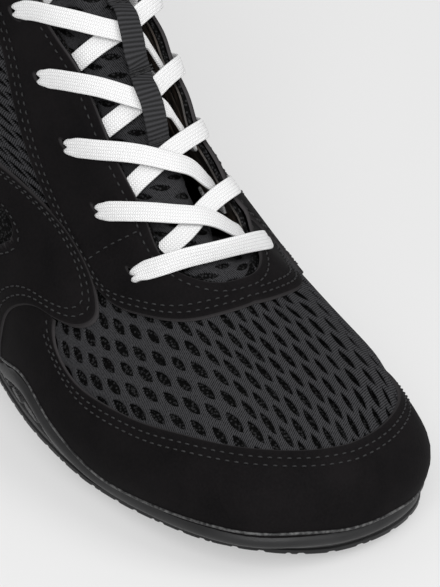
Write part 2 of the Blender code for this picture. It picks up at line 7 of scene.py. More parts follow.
# %% Load the frame
import math
import bmesh
import bpy
import mathutils
import numpy as np
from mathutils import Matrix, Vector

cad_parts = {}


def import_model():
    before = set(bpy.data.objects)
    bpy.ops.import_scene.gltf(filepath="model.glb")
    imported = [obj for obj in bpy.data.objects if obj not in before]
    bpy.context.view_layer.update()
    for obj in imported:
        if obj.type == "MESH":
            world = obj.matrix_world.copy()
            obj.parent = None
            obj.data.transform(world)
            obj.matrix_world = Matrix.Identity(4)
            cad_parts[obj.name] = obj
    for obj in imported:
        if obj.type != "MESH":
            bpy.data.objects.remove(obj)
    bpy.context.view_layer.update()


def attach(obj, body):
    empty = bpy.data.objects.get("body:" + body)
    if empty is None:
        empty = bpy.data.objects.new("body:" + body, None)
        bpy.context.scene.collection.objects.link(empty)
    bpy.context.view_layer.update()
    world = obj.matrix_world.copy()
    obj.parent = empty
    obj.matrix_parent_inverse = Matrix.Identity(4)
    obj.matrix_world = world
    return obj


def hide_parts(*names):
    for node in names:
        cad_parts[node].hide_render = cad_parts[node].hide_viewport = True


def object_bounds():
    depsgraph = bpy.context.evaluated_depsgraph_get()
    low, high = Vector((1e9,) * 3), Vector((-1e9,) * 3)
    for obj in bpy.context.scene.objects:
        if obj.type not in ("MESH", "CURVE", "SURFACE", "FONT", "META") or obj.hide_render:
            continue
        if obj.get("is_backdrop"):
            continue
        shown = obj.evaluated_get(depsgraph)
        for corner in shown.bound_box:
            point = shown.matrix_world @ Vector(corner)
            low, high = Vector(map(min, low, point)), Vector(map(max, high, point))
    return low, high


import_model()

MM = 0.001

# %% [markdown]
# ## The last
# A shoemaker pulls flat pieces over a last. The same last as in the solids is set up here: a stack of
# tilted rings, read by climb (mm up the front centre line from the sole's lip) and girth (mm along the
# ring from the front, negative on the inner side of the foot). The rings are read into a fine table
# once, so that many thousand points can be laid on the skin at a time.

# %% Sizes and sections of the last
LENGTH, BALL_WIDTH, INSTEP, HEEL_HEIGHT, HEEL_CENTRE = 285.0, 97.0, 91.0, 144.0, 42.0
# One ring a row, from the edge tucked into the sole up to the collar: x as per cent of LENGTH, half
# widths of BALL_WIDTH, heights of INSTEP, at the back of HEEL_HEIGHT; lean, drop and narrow in mm
COLUMNS = ("front_x", "front_z", "lean", "drop", "narrow", "toe_w", "ball_w", "waist_w", "heel_w",
           "back_x", "ball_z", "waist_z", "back_z")
SECTIONS = (
    (96.6, 7.4, 0.0, 0.0, 7.0, 33.0, 39.5, 27.5, 26.0, 3.8, 5.6, 7.0, 4.6),
    (99.3, 11.0, 0.0, 0.0, 9.0, 39.6, 46.0, 31.2, 29.2, 1.9, 8.8, 9.9, 6.9),
    (100.0, 19.8, 0.0, 3.0, 10.5, 43.3, 50.0, 34.5, 32.5, 0.7, 18.1, 19.8, 13.9),
    (98.8, 29.1, 0.0, 6.5, 10.8, 41.8, 49.0, 35.1, 33.0, 0.2, 27.5, 29.7, 20.5),
    (95.3, 37.4, 0.0, 6.0, 10.0, 37.6, 45.9, 34.5, 32.5, 0.2, 36.8, 39.6, 26.7),
    (90.2, 44.0, 0.0, 4.8, 8.2, 31.4, 41.8, 34.0, 32.0, 0.7, 46.2, 49.5, 33.0),
    (84.6, 50.0, 1.0, 3.5, 7.0, 26.8, 37.6, 33.0, 30.9, 1.6, 55.5, 59.3, 38.9),
    (78.9, 58.2, 2.5, 5.0, 7.5, 23.2, 34.0, 32.0, 29.9, 2.8, 64.8, 69.2, 45.1),
    (71.2, 75.3, 5.0, 6.0, 8.5, 20.6, 31.4, 31.4, 28.9, 3.9, 80.2, 83.5, 53.1),
    (63.9, 100.0, 6.0, 5.5, 8.5, 19.6, 29.9, 32.0, 28.4, 4.6, 100.0, 100.0, 61.8),
    (57.2, 125.3, 6.0, 3.5, 8.0, 19.6, 29.4, 33.5, 27.8, 4.6, 122.0, 118.7, 72.2),
    (51.6, 152.7, 5.0, 1.5, 6.5, 20.1, 29.9, 34.5, 28.4, 3.9, 147.3, 140.7, 84.7),
    (47.0, 181.3, 3.5, 0.0, 5.0, 20.6, 30.9, 35.6, 28.9, 2.8, 172.5, 164.8, 100.0),
)
# Sideways swing of the centre line, in mm, by per cent of LENGTH
SWING_X = (0.0, 21.0, 40.0, 60.0, 75.0, 88.0, 100.0)
SWING_Y = (0.0, 1.0, 3.0, 2.0, 0.0, -2.0, -4.0)
# Where a ring's corner points lie along it, and what each takes of the outer side's drop and narrowing
STATION = {"seat": 0.035, "heel": 0.12, "waist": 0.42, "ball": 0.68, "toe": 0.88, "tip": 0.965}
OUTER_SHARE = {"seat": 0.0, "heel": 0.0, "waist": 0.4, "ball": 1.0, "toe": 0.74, "tip": 0.3}
BALL_SKEW, SKEW_SPAN, TIP_WIDTH, SEAT_WIDTH = 0.035, 200.0, 0.68, 0.66

# %% Curves


def spline(knots, values, at):
    """Natural cubic through rows of values at rising knots, read at many places."""
    knots = np.asarray(knots, float)
    values = np.asarray(values, float)
    flat = values.reshape(len(knots), -1)
    step = np.diff(knots)
    matrix = np.eye(len(knots))
    right = np.zeros_like(flat)
    for i in range(1, len(knots) - 1):
        matrix[i, i - 1:i + 2] = step[i - 1], 2 * (step[i - 1] + step[i]), step[i]
        right[i] = 6 * ((flat[i + 1] - flat[i]) / step[i] - (flat[i] - flat[i - 1]) / step[i - 1])
    bend = np.linalg.solve(matrix, right)
    at = np.asarray(at, float)
    i = np.clip(np.searchsorted(knots, at.ravel()) - 1, 0, len(knots) - 2)
    h = step[i][:, None]
    low = knots[i + 1][:, None] - at.ravel()[:, None]
    high = at.ravel()[:, None] - knots[i][:, None]
    out = (bend[i] * low ** 3 + bend[i + 1] * high ** 3) / (6 * h)
    out += (flat[i] / h - bend[i] * h / 6) * low + (flat[i + 1] / h - bend[i + 1] * h / 6) * high
    return out.reshape(at.shape + values.shape[1:])


def unit(vectors):
    return vectors / np.linalg.norm(vectors, axis=-1, keepdims=True)


def run_of(points):
    """Distance run along a line of points at each of them."""
    return np.concatenate([[0.0], np.cumsum(np.linalg.norm(np.diff(points, axis=0), axis=1))])


def swing(x):
    return spline([LENGTH * s / 100 for s in SWING_X], SWING_Y, x)

# %% Rings of the last


def ring_points(section):
    """Corner points of one ring: front centre, inner side to the back, outer side to the front."""
    row = dict(zip(COLUMNS, section))
    front, back = LENGTH * row["front_x"] / 100, LENGTH * row["back_x"] / 100
    span = front - back
    heights = [HEEL_HEIGHT * row["back_z"] / 100]
    heights += [INSTEP * row[key] / 100 for key in ("waist_z", "ball_z", "front_z")]
    width = {key: BALL_WIDTH * row[key + "_w"] / 100 for key in ("heel", "waist", "ball", "toe")}
    width["tip"] = TIP_WIDTH * width["toe"]
    width["seat"] = SEAT_WIDTH * width["heel"]
    skew = BALL_SKEW * min(1.0, span / SKEW_SPAN)

    def height(part):
        return float(spline([0.0, STATION["waist"], STATION["ball"], 1.0], heights, part))

    def corner(key, side):
        part = STATION[key] - side * skew * (key == "ball")
        x = back + span * part
        outer = OUTER_SHARE[key] * (side > 0)
        reach = (part - STATION["waist"]) / (STATION["toe"] - STATION["waist"])
        lean = row["lean"] * min(max(reach, 0.0), 1.0)
        y = float(swing(x)) + side * width[key] - row["narrow"] * outer - lean
        return x, y, height(part) - row["drop"] * outer

    keys = ("tip", "toe", "ball", "waist", "heel", "seat")
    points = [(front, float(swing(front)) - row["lean"], height(1.0))]
    points += [corner(key, -1) for key in keys]
    points += [(back, float(swing(back)), height(0.0))]
    points += [corner(key, 1) for key in reversed(keys)]
    return np.array(points)


def closed_curve(points, samples=480):
    count = len(points)
    wrapped = np.vstack([points, points, points, points[:1]])
    steps = np.linalg.norm(np.diff(wrapped, axis=0), axis=1) ** 0.75
    knots = np.concatenate([[0.0], np.cumsum(steps)])
    return spline(knots, wrapped, np.linspace(knots[count], knots[2 * count], samples + 1))


RINGS = np.array([closed_curve(ring_points(section)) for section in SECTIONS])
CLIMBS = run_of(RINGS[:, 0])
CLIMBS = CLIMBS - CLIMBS[1]
TUCK = CLIMBS[0]
print("climb of the rings:", CLIMBS.round(1).tolist())

# %% The skin as a table
STEP = 1.0
CLIMB_AT = np.arange(-12.0, 242.0, STEP)
GIRTH_AT = np.arange(-330.0, 471.0, STEP)
PLACES = np.zeros((len(CLIMB_AT), len(GIRTH_AT), 3))
HALF = np.zeros((len(CLIMB_AT), 2))
for level, points in enumerate(spline(CLIMBS, RINGS, CLIMB_AT)):
    run = run_of(points)
    at = -GIRTH_AT % run[-1]
    PLACES[level] = np.stack([np.interp(at, run, points[:, axis]) for axis in range(3)], axis=1)
    behind = run[np.argmin(points[:, 0])]
    HALF[level] = behind, run[-1] - behind
NORMALS = unit(np.cross(np.gradient(PLACES, axis=1), np.gradient(PLACES, axis=0)))

# %% Reading the skin


def between(table, i, j):
    """A table read at part rows and part columns."""
    i = np.clip(i, 0, table.shape[0] - 1.001)
    j = np.clip(j, 0, table.shape[1] - 1.001)
    a, b = i.astype(int), j.astype(int)
    u, v = (i - a)[..., None], (j - b)[..., None]
    low = table[a, b] * (1 - v) + table[a, b + 1] * v
    high = table[a + 1, b] * (1 - v) + table[a + 1, b + 1] * v
    return low * (1 - u) + high * u


def look_up(table, climb, girth):
    return between(table, (climb - CLIMB_AT[0]) / STEP, (girth - GIRTH_AT[0]) / STEP)


def skin(climb, girth, off=0.0):
    """Points at a distance off the skin, outward, in mm from the heel."""
    climb, girth, off = np.broadcast_arrays(np.asarray(climb, float), np.asarray(girth, float), off)
    normal = unit(look_up(NORMALS, climb, girth))
    return look_up(PLACES, climb, girth) + normal * np.asarray(off, float)[..., None]


def world(points):
    """From mm measured from the heel to metres in the frame."""
    return (np.asarray(points, float) - (HEEL_CENTRE, 0, 0)) * MM


def half_girth(climb, side):
    return np.interp(climb, CLIMB_AT, HALF[:, 0 if side < 0 else 1])


def girth_at(climb, x, side):
    """Signed girth of the place on one side of a ring that lies x from the heel."""
    i = (climb - CLIMB_AT[0]) / STEP
    a = int(i)
    row = PLACES[a, :, 0] * (1 - i + a) + PLACES[a + 1, :, 0] * (i - a)
    reach = np.linspace(0, half_girth(climb, side), 400)
    along = np.interp(side * reach, GIRTH_AT, row)
    return side * np.interp(-x, -along, reach)


tip = world(skin(9.0, 0.0))

# %% [markdown]
# ## Finishes
# Each finish starts from what the real material is. Colours are sRGB hex values, turned to linear by
# one function, and one small function adds a shader node with its settings and its links. Patterns
# that follow the cloth read the piece's UV map, which is kept in millimetres. The others read Object
# coordinates, which are metres, so their scales are given per millimetre.

# %% Helpers for finishes
PER_MM = 1000.0


def linear(code):
    """Linear colour of an sRGB hex value."""
    parts = [int(code[i:i + 2], 16) / 255 for i in (1, 3, 5)]
    return tuple(c / 12.92 if c <= 0.04045 else ((c + 0.055) / 1.055) ** 2.4 for c in parts) + (1.0,)


def smooth(edge0, edge1, x):
    """Rise from 0 to 1 between two edges."""
    t = np.clip((np.asarray(x, float) - edge0) / (edge1 - edge0), 0, 1)
    return t * t * (3 - 2 * t)


def add(tree, kind, inputs, stops=(), **settings):
    """Outputs of a new shader node; an input is a value or a socket to link, stops colour a ramp."""
    made = tree.nodes.new("ShaderNode" + kind)
    for key, value in settings.items():
        setattr(made, key, value)
    for k, (position, code) in enumerate(stops):
        made.color_ramp.elements[k].position = position
        made.color_ramp.elements[k].color = linear(code)
    for key, value in inputs.items():
        if isinstance(value, bpy.types.NodeSocket):
            tree.links.new(value, made.inputs[key])
        else:
            made.inputs[key].default_value = value
    return made.outputs


def start_finish(name, roughness, specular):
    """A new material with its plain gloss, its node tree and its texture coordinates."""
    made = bpy.data.materials.new(name)
    made.use_nodes = True
    tree = made.node_tree
    shader = tree.nodes["Principled BSDF"]
    shader.inputs["Roughness"].default_value = roughness
    shader.inputs["Specular IOR Level"].default_value = specular
    return made, tree, add(tree, "TexCoord", {})


def end_finish(tree, colour, height=None, strength=0.0, depth=0.0, **settings):
    """Link the colour to the shader, and a height as relief with a depth in mm."""
    shader = tree.nodes["Principled BSDF"]
    tree.links.new(colour, shader.inputs["Base Color"])
    if height is not None:
        pressed = {"Strength": strength, "Distance": depth * MM, "Height": height}
        relief = add(tree, "Bump", pressed, **settings)
        tree.links.new(relief[0], shader.inputs["Normal"])

# %% [markdown]
# The air mesh is a warp knit of dark grey yarn, 0.5 mm thick. Its holes are modelled, so the finish
# only carries the fine hatch of the threads and some unevenness. Threads at their true 0.25 mm would
# vanish in the render, so they are drawn about twice as coarse. The tongue's knit is a little darker.

# %% Knit
# A wave repeats every 0.314 over its scale, here 0.57 mm
HATCH_SCALE, HATCH_SLANT = 0.55, -0.4


def make_knit(name, dark, pale):
    """A warp knit between two tones, with the slanted hatch of its threads."""
    made, tree, place = start_finish(name, 0.85, 0.08)
    turned = add(tree, "Mapping", {"Vector": place["UV"], "Rotation": (0, 0, HATCH_SLANT)})
    wavy = {"Vector": turned[0], "Scale": HATCH_SCALE, "Distortion": 1.2, "Detail": 1.0, "Detail Scale": 1.2}
    hatch = add(tree, "TexWave", wavy, wave_type="BANDS", bands_direction="X")
    fuzz = add(tree, "TexNoise", {"Vector": place["UV"], "Scale": 1.6, "Detail": 3.0})
    both = add(tree, "Math", {0: hatch["Fac"], 1: 0.7, 2: fuzz["Fac"]}, operation="MULTIPLY_ADD")
    tone = add(tree, "ValToRGB", {"Fac": both[0]}, stops=((0.45, dark), (1.0, pale)))
    end_finish(tree, tone["Color"], both[0], 0.6, 0.3)
    return made


knit = make_knit("polyester warp knit", "#0b0b0c", "#3b3b3d")
dark_knit = make_knit("black warp knit", "#060607", "#3c3c3e")
print("finishes:", knit.name, dark_knit.name)

# %% [markdown]
# Nubuck is leather buffed on its outer face: a short, matt nap that shows faint clouds where it was
# brushed and almost no highlight. Its cut edge is paler, which the pieces mark for each point. The
# thread is twisted and bonded, so it has a slight gloss. The lining is a fine tricot of raised dots.

# %% Nubuck, thread, lining
nubuck, tree, place = start_finish("buffed nubuck", 0.85, 0.08)
nap = add(tree, "TexNoise", {"Vector": place["Object"], "Scale": 1.4 * PER_MM, "Detail": 4.0})
brush = add(tree, "TexNoise", {"Vector": place["Object"], "Scale": 0.07 * PER_MM, "Detail": 3.0})
mixed = add(tree, "Math", {0: nap["Fac"], 1: 0.6, 2: brush["Fac"]}, operation="MULTIPLY_ADD")
tone = add(tree, "ValToRGB", {"Fac": mixed[0]}, stops=((0.5, "#080708"), (1.0, "#121011")))
cut = add(tree, "Attribute", {}, attribute_name="mark")
pale = add(tree, "Mix", {0: cut["Fac"], 6: tone["Color"], 7: linear("#3c3a3b")}, data_type="RGBA")
end_finish(tree, pale[2], nap["Fac"], 0.35, 0.2)

thread, tree, place = start_finish("bonded polyester thread", 0.6, 0.25)
twist = add(tree, "TexNoise", {"Vector": place["Object"], "Scale": 0.9 * PER_MM, "Detail": 2.0})
tone = add(tree, "ValToRGB", {"Fac": twist["Fac"]}, stops=((0.0, "#131314"), (1.0, "#303031")))
end_finish(tree, tone["Color"])

lining, tree, place = start_finish("tricot lining", 0.9, 0.1)
dots = add(tree, "TexVoronoi", {"Vector": place["Object"], "Scale": 1.3 * PER_MM})
tone = add(tree, "ValToRGB", {"Fac": dots["Distance"]}, stops=((0.2, "#2a2a2b"), (0.5, "#020202")))
end_finish(tree, tone["Color"], dots["Distance"], 0.5, 0.4, invert=True)
print("finishes:", nubuck.name, thread.name, lining.name)

# %% [markdown]
# ## Making pieces
# Small helpers turn arrays into an object or start a flat grid, run an operator on the whole of it,
# and finish it: shaded smooth, riding on the shoe's one body and standing for its solids.

# %% Helpers for pieces


def alone(piece):
    bpy.ops.object.select_all(action="DESELECT")
    piece.select_set(True)
    bpy.context.view_layer.objects.active = piece


def edit_all(piece, operator, **settings):
    """One operator of edit mode on the whole of a piece."""
    alone(piece)
    bpy.ops.object.mode_set(mode="EDIT")
    bpy.ops.mesh.select_all(action="SELECT")
    operator(**settings)
    bpy.ops.object.mode_set(mode="OBJECT")


def faces_out(piece):
    edit_all(piece, bpy.ops.mesh.normals_make_consistent, inside=False)


def lay_uv(mesh, layer, uv):
    """Give each corner of a mesh the UV place of its point."""
    corner = np.zeros(len(mesh.loops), int)
    mesh.loops.foreach_get("vertex_index", corner)
    layer.data.foreach_set("uv", np.asarray(uv, np.float32)[corner].ravel())


def from_arrays(name, points, faces, uv=None, mark=None):
    """A mesh object from points in metres and faces, with UV places in mm and a mark for each point."""
    mesh = bpy.data.meshes.new(name)
    mesh.from_pydata(np.asarray(points).tolist(), [], [list(map(int, face)) for face in faces])
    piece = bpy.data.objects.new(name, mesh)
    bpy.context.scene.collection.objects.link(piece)
    if uv is not None:
        lay_uv(mesh, mesh.uv_layers.new(name="pattern"), uv)
    if mark is not None:
        layer = mesh.attributes.new("mark", "FLOAT", "POINT")
        layer.data.foreach_set("value", np.asarray(mark, np.float32))
    return piece

# %% Shaping and finishing a piece


def coordinates(piece):
    flat = np.zeros(3 * len(piece.data.vertices))
    piece.data.vertices.foreach_get("co", flat)
    return flat.reshape(-1, 3)


def flat_grid(name, columns, rows):
    """A new grid to be bent, and its flat places from -1 to 1."""
    bpy.ops.object.select_all(action="DESELECT")
    bpy.ops.mesh.primitive_grid_add(x_subdivisions=columns, y_subdivisions=rows, size=2)
    piece = bpy.context.object
    piece.name = name
    return piece, coordinates(piece)


def move_to(piece, points):
    piece.data.vertices.foreach_set("co", np.asarray(points, np.float32).ravel())
    piece.data.update()


def apply(piece, kind, **settings):
    """Add a modifier with its settings and apply it."""
    alone(piece)
    made = piece.modifiers.new(kind.lower(), kind)
    for key, value in settings.items():
        setattr(made, key, value)
    bpy.ops.object.modifier_apply(modifier=made.name)


def finish_piece(piece, finish, slot, *stands_for, angle=40):
    alone(piece)
    bpy.ops.object.shade_smooth_by_angle(angle=math.radians(angle))
    piece.data.materials.clear()
    piece.data.materials.append(finish)
    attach(piece, "root")
    if stands_for:
        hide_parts(*stands_for)
    piece.data.calc_loop_triangles()
    print(f"{piece.name}: {len(piece.data.loop_triangles)} triangles")

# %% [markdown]
# ## Edges of the pattern
# The outlines of the overlays are drawn flat, in girth and climb, as on pattern paper. The inner side
# is what the photograph shows; the outer side mirrors it. Corners are rounded by drawing a smooth
# closed curve through the points.

# %% Outlines
FOOT = -1.0
# Climb of the sole's rim by distance from the heel, on the inner and on the outer side
RIM = (
    (0, 3.0, 3.0), (40, 3.4, 3.4), (90, 4.6, 4.2), (140, 6.6, 5.0), (165, 8.2, 5.4), (180, 10.0, 5.6),
    (189, 12.8, 5.4), (196, 14.0, 5.0), (202, 13.0, 4.5), (209, 10.2, 3.9), (216, 8.0, 3.3), (223, 5.7, 2.7),
    (230, 4.1, 2.2), (238, 4.2, 1.8), (251, 5.2, 1.4), (266, 6.0, 1.2), (277, 5.7, 1.1), (282, 4.8, 1.2),
    (285, 2.4, 2.4),
)
# The girths between which the rim changes from its outer to its inner height
RIM_BLEND = (45.0, -10.0)
# Half the throat's width, as girth, by climb
THROAT = ((81.0, 11.0), (83.0, 14.2), (98.0, 14.3), (116.0, 14.4), (133.0, 14.8), (143.0, 16.4),
          (152.0, 20.0), (162.0, 22.0), (190.0, 22.0), (228.0, 22.0))
EYELET_FIRST, EYELET_PITCH, EYELET_PAIRS, EYELET_GIRTH, EYELET_RADIUS = 75.0, 19.4, 8, 31.6, 1.9
COLLAR, PATTERN_STEP = 226.0, 1.6
SIDES = ((-1, "inner"), (1, "outer"))


def rim_climb(x, girth):
    """Climb of the sole's rim on the upper."""
    table = np.array(RIM)
    both = spline(table[:, 0], table[:, 1:], np.clip(x, 0, LENGTH))
    inner = smooth(*RIM_BLEND, girth)
    return both[..., 0] * inner + both[..., 1] * (1 - inner)


def evenly(points, spacing, closed=False):
    """A polyline sampled again at even spacing."""
    points = np.asarray(points, float)
    if closed:
        points = np.vstack([points, points[:1]])
    run = run_of(points)
    count = max(2, int(round(run[-1] / spacing)))
    at = np.linspace(0, run[-1], count + 1)
    if closed:
        at = at[:-1]
    return np.stack([np.interp(at, run, points[:, k]) for k in range(points.shape[1])], axis=1)


def bowed(points, spacing=PATTERN_STEP):
    """A smooth open curve through the points at even spacing."""
    points = np.asarray(points, float)
    knots = run_of(points)
    return evenly(spline(knots, points, np.linspace(0, knots[-1], 40 * len(points))), spacing)


def anticlockwise(outline):
    x, y = outline.T
    return outline if np.sum(x * np.roll(y, -1) - np.roll(x, -1) * y) > 0 else outline[::-1]


def along_side(rows, side):
    """(x, climb) places on one side as (girth, climb)."""
    return [(girth_at(climb, x, side), climb) for x, climb in rows]

# %% Outlines of saddles and rand
# Edges of the saddle, then the upper edge of the rand's rear end, as x from the heel and climb
SADDLE_TOP = (
    (119, 84), (130, 86), (142, 88), (155, 88.8), (166, 87), (176, 83), (184.5, 78), (191, 72.5),
    (197, 66.5), (202, 60.5), (206, 54.5),
)
SADDLE_TIP = ((206, 54.5), (208.6, 49.5), (208.8, 45.2), (206.4, 41.9), (202, 40.4), (197.5, 40.0))
SADDLE_LOW = (
    (197.5, 40.0), (192.5, 39.8), (187.8, 37.6), (182.8, 31.8), (179.6, 24.5), (178.6, 16.5), (178.2, 9.0),
    (178.0, FOOT),
)
SADDLE_BACK = (119.0, 84.0)
RAND_REAR = (
    (197.5, 41.0), (192.5, 40.8), (187.8, 38.6), (182.0, 32.8), (178.6, 25.0), (177.6, 16.5), (177.2, 9.0),
    (177.0, FOOT),
)


def saddle_outline(side):
    edges = [bowed(along_side(rows, side))[:-1] for rows in (SADDLE_TOP, SADDLE_TIP, SADDLE_LOW)]
    foot = along_side([(x, FOOT) for x in np.linspace(SADDLE_LOW[-1][0], SADDLE_BACK[0], 40)], side)
    back = along_side([(SADDLE_BACK[0], c) for c in np.linspace(FOOT, SADDLE_BACK[1], 50)], side)
    return np.vstack(edges + [foot[:-1], back[:-1]])


# Upper edge of the rand from its rear end to the middle of the toe, as climb and girth
RAND_TOP = (
    (39.5, 82.0), (34.0, 85.6), (30.0, 86.4), (26.5, 84.3), (24.2, 77.5), (24.0, 70.0), (24.5, 56.5),
    (26.2, 43.5), (26.8, 31.5), (26.2, 20.0), (25.0, 9.0), (24.4, 0.0),
)


def rand_outline():
    half = bowed([(g, c) for c, g in RAND_TOP])
    outer, inner = (bowed(along_side(RAND_REAR, side)) for side in (1, -1))
    foot = [(g, FOOT) for g in np.arange(outer[-1][0], inner[-1][0], -2.0)]
    return np.vstack([half * (-1, 1), half[-2::-1], outer[1:], foot[1:], inner[::-1][:-1]])

# %% Outline of the eyestay
# Half the eyestay's edge, as girth and climb: round the front, then up the side
EYESTAY_FRONT = (
    (0.0, 71.6), (9.0, 69.8), (18.0, 66.6), (30.0, 62.2), (40.0, 58.8), (47.0, 57.0), (52.0, 57.4),
    (55.4, 61.0), (56.6, 67.0), (57.0, 76.0),
)
EYESTAY_SIDE = (
    (57.0, 76.0), (55.6, 86.0), (52.0, 102.0), (46.8, 122.0), (42.6, 140.0), (41.4, 160.0), (41.4, 190.0),
    (41.4, COLLAR),
)
THROAT_FOOT = ((0.0, 79.6), (6.0, 79.6))


def eyestay_outline():
    side = bowed(EYESTAY_SIDE)
    inner = bowed(list(THROAT_FOOT) + [(g, c) for c, g in THROAT])
    top = evenly([side[-1], (inner[-1][0], COLLAR)], PATTERN_STEP)
    inner = inner[inner[:, 1] < COLLAR - 0.5]
    half = np.vstack([bowed(EYESTAY_FRONT)[:-1], side[:-1], top, inner[::-1]])
    mirrored = half[::-1] * (-1, 1)
    return np.vstack([half[:-1], mirrored[:-1]])

# %% Outlines of counter, band and tape
# Upper edge of the counter from the side to the back, as share of the half girth and climb
COUNTER_TOP = (
    (0.66, FOOT), (0.68, 14.0), (0.74, 34.0), (0.80, 54.0), (0.86, 70.0), (0.91, 82.0), (0.96, 89.5),
    (1.0, 92.0),
)


def counter_outline():
    rows = bowed([(100 * s, c) for s, c in COUNTER_TOP])
    outer = [(s / 100 * half_girth(c, 1), c) for s, c in rows]
    inner = [(half_girth(c, 1) + (1 - s / 100) * half_girth(c, -1), c) for s, c in rows[::-1][1:]]
    foot = [(g, FOOT) for g in np.arange(inner[-1][0], outer[0][0], -2.0)]
    return np.vstack([outer, inner, foot[1:]])


BAND_START, BAND_HIGH, BAND_STEPS = 43.0, 13.0, 150
TAPE_SPAN, TAPE_HALF = (88.0, 217.0), 6.0


def band_outline():
    edges = []
    for climb in (COLLAR - BAND_HIGH, COLLAR):
        reach = half_girth(climb, 1) + half_girth(climb, -1) - 2 * BAND_START
        edges.append([(BAND_START + reach * k / BAND_STEPS, climb) for k in range(BAND_STEPS + 1)])
    return np.vstack([edges[0], edges[1][::-1]])


def tape_outline():
    climbs = np.arange(*TAPE_SPAN, 2.0)
    left, right = ([(half_girth(c, 1) + out, c) for c in climbs] for out in (-TAPE_HALF, TAPE_HALF))
    return np.vstack([left[::-1], right])

# %% All outlines
OUTLINES = {
    "rand": rand_outline(), "saddle_inner": saddle_outline(-1), "saddle_outer": saddle_outline(1),
    "eyestay": eyestay_outline(), "counter": counter_outline(), "band": band_outline(),
    "tape": tape_outline(),
}
OUTLINES = {key: anticlockwise(outline) for key, outline in OUTLINES.items()}
print("points of the outlines:", {key: len(outline) for key, outline in OUTLINES.items()})

# %% [markdown]
# ## Air mesh
# The vamp is a knit with lens-shaped holes in staggered rows, 12 mm apart along the shoe and 5.2 mm
# across it. Holes drawn in a texture would look painted on, so each hole is cut: the sheet is a
# honeycomb of six-cornered cells, and each cell has a lens with a rounded rim and a short wall. The
# vamp's rows run nearly along the shoe, so its cells are laid out by distance along and round it.

# %% Chart of the vamp
CELL_LONG, CELL_WIDE = 12.3, 5.2
LENS_LONG, LENS_WIDE, CORNER = 3.75, 1.15, 4.8
VAMP_TURN, QUARTER_TURN = math.radians(6.0), math.radians(20.0)
VAMP_X = np.arange(186.0, 283.5, 1.0)
VAMP_T = np.arange(0.0, 116.0, 1.0)


def vamp_chart():
    """Girth and climb of places on the vamp by x and by distance from its ridge, for both sides."""
    first = np.searchsorted(CLIMB_AT, 8.0)
    front = PLACES[first:, np.searchsorted(GIRTH_AT, 0.0), 0]
    ridge = np.interp(-VAMP_X, -front, CLIMB_AT[first:])
    chart = np.zeros((2, len(VAMP_X), len(VAMP_T), 2))
    for s, side in enumerate((-1, 1)):
        for i, x in enumerate(VAMP_X):
            climbs = np.linspace(ridge[i], 0.0, 60)
            girths = np.array([0.0] + [girth_at(c, x, side) for c in climbs[1:]])
            run = run_of(skin(climbs, girths))
            chart[s, i, :, 0] = np.interp(VAMP_T, run, girths)
            chart[s, i, :, 1] = np.interp(VAMP_T, run, climbs)
    return chart, run_of(skin(ridge, 0.0))


VAMP, VAMP_RUN = vamp_chart()


def vamp_place(along, across):
    """Girth and climb at a distance along the ridge and across from it."""
    i = np.interp(along, VAMP_RUN, np.arange(len(VAMP_X)))
    inner, outer = (between(table, i, np.abs(across)) for table in VAMP)
    both = np.where((across > 0)[..., None], outer, inner)
    return both[..., 0], both[..., 1]

# %% Honeycomb of lens holes
SHOULDER = CELL_LONG / 2 - CORNER
QUARTER_CELL = ((CORNER, 0.0), ((CORNER + SHOULDER) / 2, CELL_WIDE / 4), (SHOULDER, CELL_WIDE / 2),
                (0.0, CELL_WIDE / 2))
QUARTER_LENS = ((1.0, 0.0), (0.76, 0.46), (0.42, 0.84), (0.0, 1.0))


def all_round(quarter):
    """Twelve points round a shape from the four of its first quarter."""
    q = list(quarter)
    half = q + [(-x, y) for x, y in q[2::-1]]
    return np.array(half + [(x, -y) for x, y in half[-2:0:-1]])


HOLE_SIZES, HOLE_NUDGE, KNIT_SEED, SAME_PLACE = (0.9, 1.08), 0.16, 7, 0.01
CELL = all_round(QUARTER_CELL)
CELL_POINTS = len(CELL)
LENS = all_round(QUARTER_LENS) * (LENS_LONG, LENS_WIDE)
# Rings of a cell from its border to the bottom of the hole: share of the way from border to lens,
# scale of the lens, height off the skin
CELL_RINGS = ((0.0, 1.0, 0.14), (0.6, 1.0, 0.18), (0.9, 1.0, 0.08), (1.0, 0.99, -0.12), (1.0, 0.97, -0.4))

# %% Inside and distance


def inside(outline, points):
    """Which points lie inside a closed outline."""
    points = np.asarray(points, float)
    x, y = points[:, 0][:, None], points[:, 1][:, None]
    a, b = outline, np.roll(outline, -1, axis=0)
    straddle = (a[:, 1] > y) != (b[:, 1] > y)
    rise = np.where(b[:, 1] == a[:, 1], 1e-9, b[:, 1] - a[:, 1])
    cross = x < (b[:, 0] - a[:, 0]) * (y - a[:, 1]) / rise + a[:, 0]
    return np.sum(straddle & cross, axis=1) % 2 == 1


def distance_to(path, points, closed=True):
    """Distance of each point to a polyline."""
    a = path if closed else path[:-1]
    b = np.roll(path, -1, axis=0) if closed else path[1:]
    best = np.full(len(points), 1e9)
    for start in range(0, len(points), 2000):
        p = points[start:start + 2000, None, :]
        d = b - a
        t = np.clip(np.sum((p - a) * d, axis=2) / np.maximum(np.sum(d * d, axis=1), 1e-9), 0, 1)
        best[start:start + 2000] = np.sqrt(np.min(np.sum((a + t[..., None] * d - p) ** 2, axis=2), axis=1))
    return best


def deep_under(points, depth):
    """Which (girth, climb) places lie deeper than this under an overlay, counted in from its edge."""
    total = half_girth(points[:, 1], 1) + half_girth(points[:, 1], -1)
    hidden = np.zeros(len(points), bool)
    for outline in OUTLINES.values():
        for turned in (points, np.column_stack([points[:, 0] + total, points[:, 1]])):
            hit = inside(outline, turned)
            hit[hit] = distance_to(outline, turned[hit]) > depth
            hidden |= hit
    return hidden

# %% Honeycomb sheet


